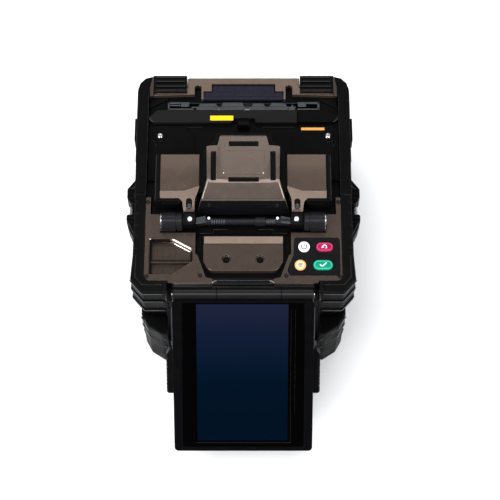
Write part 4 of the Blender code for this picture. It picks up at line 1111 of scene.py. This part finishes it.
def build_lower_dampers():
    """Slants, caps, bands and soles on the lower corner dampers."""
    for word, side in SIDES:
        front = low("lower_front_damper_" + word).y
        top = high("lower_front_damper_" + word).z
        ribs = []
        for z_in, z_out in ((50.0, 55.4), (41.0, 48.0), (32.0, 39.0), (23.0, 30.0)):
            ribs.append(loft([(57.6 * side, front + 0.6, z_in - 3.6), (75.8 * side, -78.0, z_out - 3.6),
                              (73.6 * side, -77.4, z_out - 3.6), (57.6 * side, front + 3.0, z_in - 3.6)],
                             [(57.6 * side, front - 0.9, z_in), (76.9 * side, -78.6, z_out),
                              (73.6 * side, -77.4, z_out), (57.6 * side, front + 3.0, z_in)]))
        piece("damper_slants_" + word, merge(*ribs), "case", "rubber_damper", bevel=0.5)
        # Grey beads along the slanted ribs: painted highlights.
        lines = [bead([(57.4 * side, front - 1.0, z_in + 0.4), (71.4 * side, -86.6, (z_in + z_out) / 2 + 1.2),
                       (76.6 * side, -78.4, z_out + 0.4)], 0.4)
                 for z_in, z_out in ((46.0, 55.6), (30.0, 42.0))]
        piece("damper_slant_highlights_" + word, merge(*lines), "case", "grey_metal", bevel=0)
        cap = [(57.4, front + 0.4), (61.0, front + 0.4, 2), (70.6, -86.2, 2), (75.2, -77.6, 2), (75.6, -66.0),
               (70.6, -66.0), (70.6, -78.6), (57.4, -78.6)]
        piece("damper_cap_" + word, prism(on_side(cap, side), top - 0.5, top + 1.0), "case", "rubber_damper",
              bevel=0.6)
        for number, (z0, z1) in enumerate(((8.0, 16.0), (24.0, 32.0), (40.0, 48.0))):
            path = [(76.9, -2.0), (77.4, 86.5, 11.0), (60.0, 86.5)]
            band = flipped(side_band(path, z0, z1, 0.7), side)
            piece(f"lower_band_{number}_{word}", band, "case", "rubber_damper", bevel=0.5)
            strip = flipped(side_band([(76.2, -74.0), (76.4, -14.0)], z0, z1, 0.7), side)
            piece(f"lower_strip_{number}_{word}", strip, "case", "rubber_damper", bevel=0.5)
        soles = [turned([(0.0, 5.0), (-0.01, 4.0), (1.0, 6.0), (3.0, 6.0)], (65.0 * side, y, 0), steps=24)
                 for y in (-72.0, 68.0)]
        piece("soles_" + word, merge(*soles), "case", "rubber_damper", bevel=0)


# ---------------------------------------------------------------- sockets, battery, case walls and underside
def build_case_details():
    """Sockets, louvres, battery and screws on the case's walls and underside."""
    x0 = low("io_panel").x
    ring = turned([(0, 3.5), (0, 4.6), (-0.8, 4.6), (-1.1, 4.2), (-1.1, 3.4), (0, 3.3)],
                  (x0, 29.0, 83.5), "X", 32)
    pin = turned([(0.4, 0.9), (2.6, 0.9)], (x0, 29.0, 83.5), "X", 16)
    piece("inlet_ring", merge(ring), "case", "steel", bevel=0)
    piece("inlet_pin", pin, "case", "steel", bevel=0)
    tongue = box((x0 + 0.5, x0 + 2.6), (39.2, 45.0), (83.0, 84.4))
    piece("usb_tongue", tongue, "case", "white_key", bevel=0.15)
    slot_lips = [box((x0 - 0.4, x0 + 0.3), (50.2, 58.8), (z, z + 0.5)) for z in (81.2, 85.3)]
    piece("card_slot_lips", merge(*slot_lips), "case", "case_plastic", bevel=0.15)

    wall = high("upper_case").x
    louvres = []
    for i in range(9):
        y = 20.0 + 4.2 * i
        louvres.append(loft([(wall - 0.3, y, 76.5), (wall + 0.9, y, 76.5), (wall + 0.9, y + 1.6, 76.5),
                             (wall - 0.3, y + 2.2, 76.5)],
                            [(wall - 0.3, y, 88.5), (wall + 0.9, y, 88.5), (wall + 0.9, y + 1.6, 88.5),
                             (wall - 0.3, y + 2.2, 88.5)]))
    piece("side_louvres", merge(*louvres), "case", "case_plastic", bevel=0.2)
    seam = high("lower_case").z
    half_x, half_y = high("lower_case").x, high("lower_case").y
    groove = prism(rectangle(-half_x - 0.35, half_x + 0.35, -half_y - 0.35, half_y + 0.35, 4.3),
                   seam - 3.4, seam - 1.2)
    hollow = prism(rectangle(1 - half_x, half_x - 1, 1 - half_y, half_y - 1, 3), 0, TALL)
    piece("case_belt", groove, "case", "case_plastic", bevel=0.3, cuts=[hollow])
    front = low("lower_case").y
    ribs = [box((x - 1.0, x + 1.0), (front - 1.0, front + 0.5), (14.0, 64.0)) for x in (-44, -22, 0, 22, 44)]
    piece("front_ribs", merge(*ribs), "case", "case_plastic", bevel=0.4)
    for word, side in SIDES:
        x = side * high("lower_case").x
        studs = [box(tuple(sorted((x - 0.5 * side, x + 1.6 * side))), (y, y + 3.0), (61.0, 71.0))
                 for y in range(-70, 76, 16)]
        piece("wall_studs_" + word, merge(*studs), "case", "case_plastic", bevel=0.4)
        bolts = [wall_screw((x, y, 66.0), 2.4, side) for y in (-62.5, 65.5)]
        piece("wall_screws_" + word, merge(*bolts), "case", "steel", bevel=0)

    back = high("battery_pack").y
    ribs = [box((-36, 36), (back - 0.3, back + 0.7), (z, z + 1.0)) for z in (12.5, 15.0, 17.5, 20.0, 22.5)]
    piece("battery_grips", merge(*ribs), "battery", "module_plastic", bevel=0.3)
    window = along_y(prism(rectangle(-36, -14, 30.5, 36.0, 1), back - 0.2, back + 0.25))
    piece("battery_window", window, "battery", "keypad_lacquer", bevel=0.1)
    lights = [along_y(turned([(back, 0.7), (back + 0.45, 0.55)], (x, 33.2, 0), steps=12))
              for x in (-32, -28.5, -25, -21.5, -18)]
    piece("battery_lights", merge(*lights), "battery", "green_key", bevel=0)
    left, right, foot = low("battery_latch").x, high("battery_latch").x, low("battery_latch").z
    face = high("battery_latch").y
    ridges = [box((left + 0.8, right - 0.8), (face - 0.3, face + 0.5), (foot + rise, foot + rise + 0.6))
              for rise in (1.0, 2.2, 3.4)]
    piece("latch_ridges", merge(*ridges), "latch", "rubber_damper", bevel=0.15)

    under = low("lower_case").z
    plate_screws = [moved(screw((0, 0, 0), 1.8, 0.5),
                          Matrix.Translation((x, y, 0.2)) @ Matrix.Rotation(math.pi, 4, "X"))
                    for x in (-17, 17) for y in (-17, 17)]
    piece("plate_screws", merge(*plate_screws), "case", "steel", bevel=0)
    bush = turned([(0.05, 3.2), (0.05, 7.0), (0.6, 7.4), (1.5, 7.4), (1.5, 3.2)], (0, 0, 0), steps=40)
    piece("tripod_bush", bush, "case", "steel", bevel=0)
    slats = [box((-50, 50), (y, y + 2.0), (under - 1.0, under + 0.3)) for y in range(-68, -26, 7)]
    piece("base_slats", merge(*slats), "case", "case_plastic", bevel=0.3)


def build_splice_area():
    """What shows when the wind cover is up."""
    fiber_z = high("feed_stage_left").z - 1.0
    for number, side in enumerate((-1, 1)):
        tip = turned([(0, 0.9), (5.0, 0.9), (7.0, 0.25), (7.4, 0.05)], (0, 0, 0), steps=20)
        turn = Matrix.Translation((0, 9.0 * side, fiber_z)) @ Matrix.Rotation(side * math.pi / 2, 4, "X")
        piece(f"electrode_tip_{number}", moved(tip, turn), "case", "steel", bevel=0)
        piece(f"electrode_cap_{number}", screw((0, 9.0 * side, high("electrode_holder_front").z), 1.5, 0.8),
              "case", "copper", bevel=0)
    lens = turned([(0, 3.6), (0.8, 3.0), (1.2, 1.6), (1.3, 0.02)],
                  (0, 0, high("objective_block").z - 0.2), steps=32)
    piece("objective_lens", lens, "case", "lens", bevel=0)
    ring = turned([(0, 3.6), (0, 4.6), (0.6, 4.6), (0.6, 3.6)], (0, 0, high("objective_block").z), steps=32)
    piece("objective_ring", ring, "case", "steel", bevel=0)
    z = high("stage_block").z
    piece("stage_screws", merge(*(screw((x, y, z), 1.5, 0.6) for x in (-23, 23) for y in (-13, 10))), "case",
          "steel", bevel=0)
    for word, side in SIDES:
        z = high("sheath_clamp_" + word).z
        x = ((low("sheath_clamp_" + word) + high("sheath_clamp_" + word)) / 2).x
        ridges = [box((x - 5.5, x + 5.5), (y, y + 0.8), (z - 0.3, z + 0.5)) for y in (-5.6, -3.8, -2.0)]
        piece("clamp_ridges_" + word, merge(*ridges), "clamp_" + word, "module_plastic", bevel=0.2)
        pad = box((x - 5.0, x + 5.0), (-2.6, 2.6),
                  (low("sheath_clamp_" + word).z - 0.2, low("sheath_clamp_" + word).z + 0.3))
        piece("clamp_pad_" + word, pad, "clamp_" + word, "rubber_damper", bevel=0.1)
        z = high("feed_stage_" + word).z
        lines = merge(*(box((x + dx, x + dx + 0.4), (-9.0, -4.2), (z - 0.1, z + 0.15))
                        for dx in (-4, -2, 0, 2, 4)))
        piece("feed_marks_" + word, lines, "feed_" + word, "symbol_grey", bevel=0)
    corners = [(-46.5, -16), (46.5, -16), (-46.5, 11.6), (46.5, 11.6)]
    piece("well_screws", merge(*(screw((x * 1.13, y, high("top_frame").z), 1.6, 0.5) for x, y in corners)),
          "case", "steel", bevel=0)


# ---------------------------------------------------------------- floor, light and camera
def build_stage():
    """The pale floor."""
    material = Surface("pale_floor", (0.85, 0.856, 0.87), 0.8, specular=0.2)
    material.vary_roughness(60.0, 0.05)
    bpy.ops.mesh.primitive_plane_add(size=6.0, location=(0, 0, 0))
    floor = bpy.context.object
    floor.name = "floor"
    floor.data.materials.append(material.material)


def area_light(name, place, target, size, power, colour=(1, 1, 1)):
    """A rectangular light at place, turned to face target."""
    data = bpy.data.lights.new(name, "AREA")
    data.shape = "RECTANGLE"
    data.size, data.size_y = size
    data.energy = power
    data.color = colour
    light = bpy.data.objects.new(name, data)
    bpy.context.scene.collection.objects.link(light)
    light.location = place
    light.rotation_euler = (Vector(target) - Vector(place)).to_track_quat("-Z", "Y").to_euler()
    return light


def build_light():
    """Soft studio light: one broad fill, and softboxes for the reflections."""
    world = bpy.data.worlds.new("studio")
    bpy.context.scene.world = world
    world.use_nodes = True
    world.node_tree.nodes["Background"].inputs["Color"].default_value = (0.95, 0.97, 1.0, 1.0)
    world.node_tree.nodes["Background"].inputs["Strength"].default_value = 0.1
    middle = (0, 0, 0.1)
    fill = area_light("ceiling_fill", (-0.34, 0.05, 2.0), middle, (1.6, 1.6), 46.0)
    fill.visible_glossy = False  # it lights the room, and only the softboxes below show in reflections
    area_light("overhead_softbox", (0.0, -0.3, 1.75), middle, (1.3, 0.6), 7.5)
    area_light("rear_softbox", (0.0, 0.95, 1.35), middle, (1.8, 0.6), 4.6)
    area_light("left_softbox", (-0.85, -0.9, 0.8), middle, (0.6, 0.8), 19.0)
    area_light("right_softbox", (0.85, -0.9, 0.8), middle, (0.6, 0.8), 12.0)


def build_camera():
    """The camera, looking down on the part from the front."""
    data = bpy.data.cameras.new("camera")
    data.sensor_width = 36.0
    data.lens = 107.86
    camera = bpy.data.objects.new("camera", data)
    bpy.context.scene.collection.objects.link(camera)
    camera.location = (0.00484, -0.4792, 1.1025)
    camera.rotation_euler = (math.radians(23.5), 0, 0)
    bpy.context.scene.camera = camera
    bpy.context.scene.view_settings.view_transform = "Standard"


dress_frame()
build_monitor()
build_deck()
build_cover_centre()
build_wings()
build_cover_frame()
build_hinge_row()
build_rear()
build_upper_dampers()
build_lower_dampers()
build_case_details()
build_splice_area()
build_stage()
build_light()
build_camera()
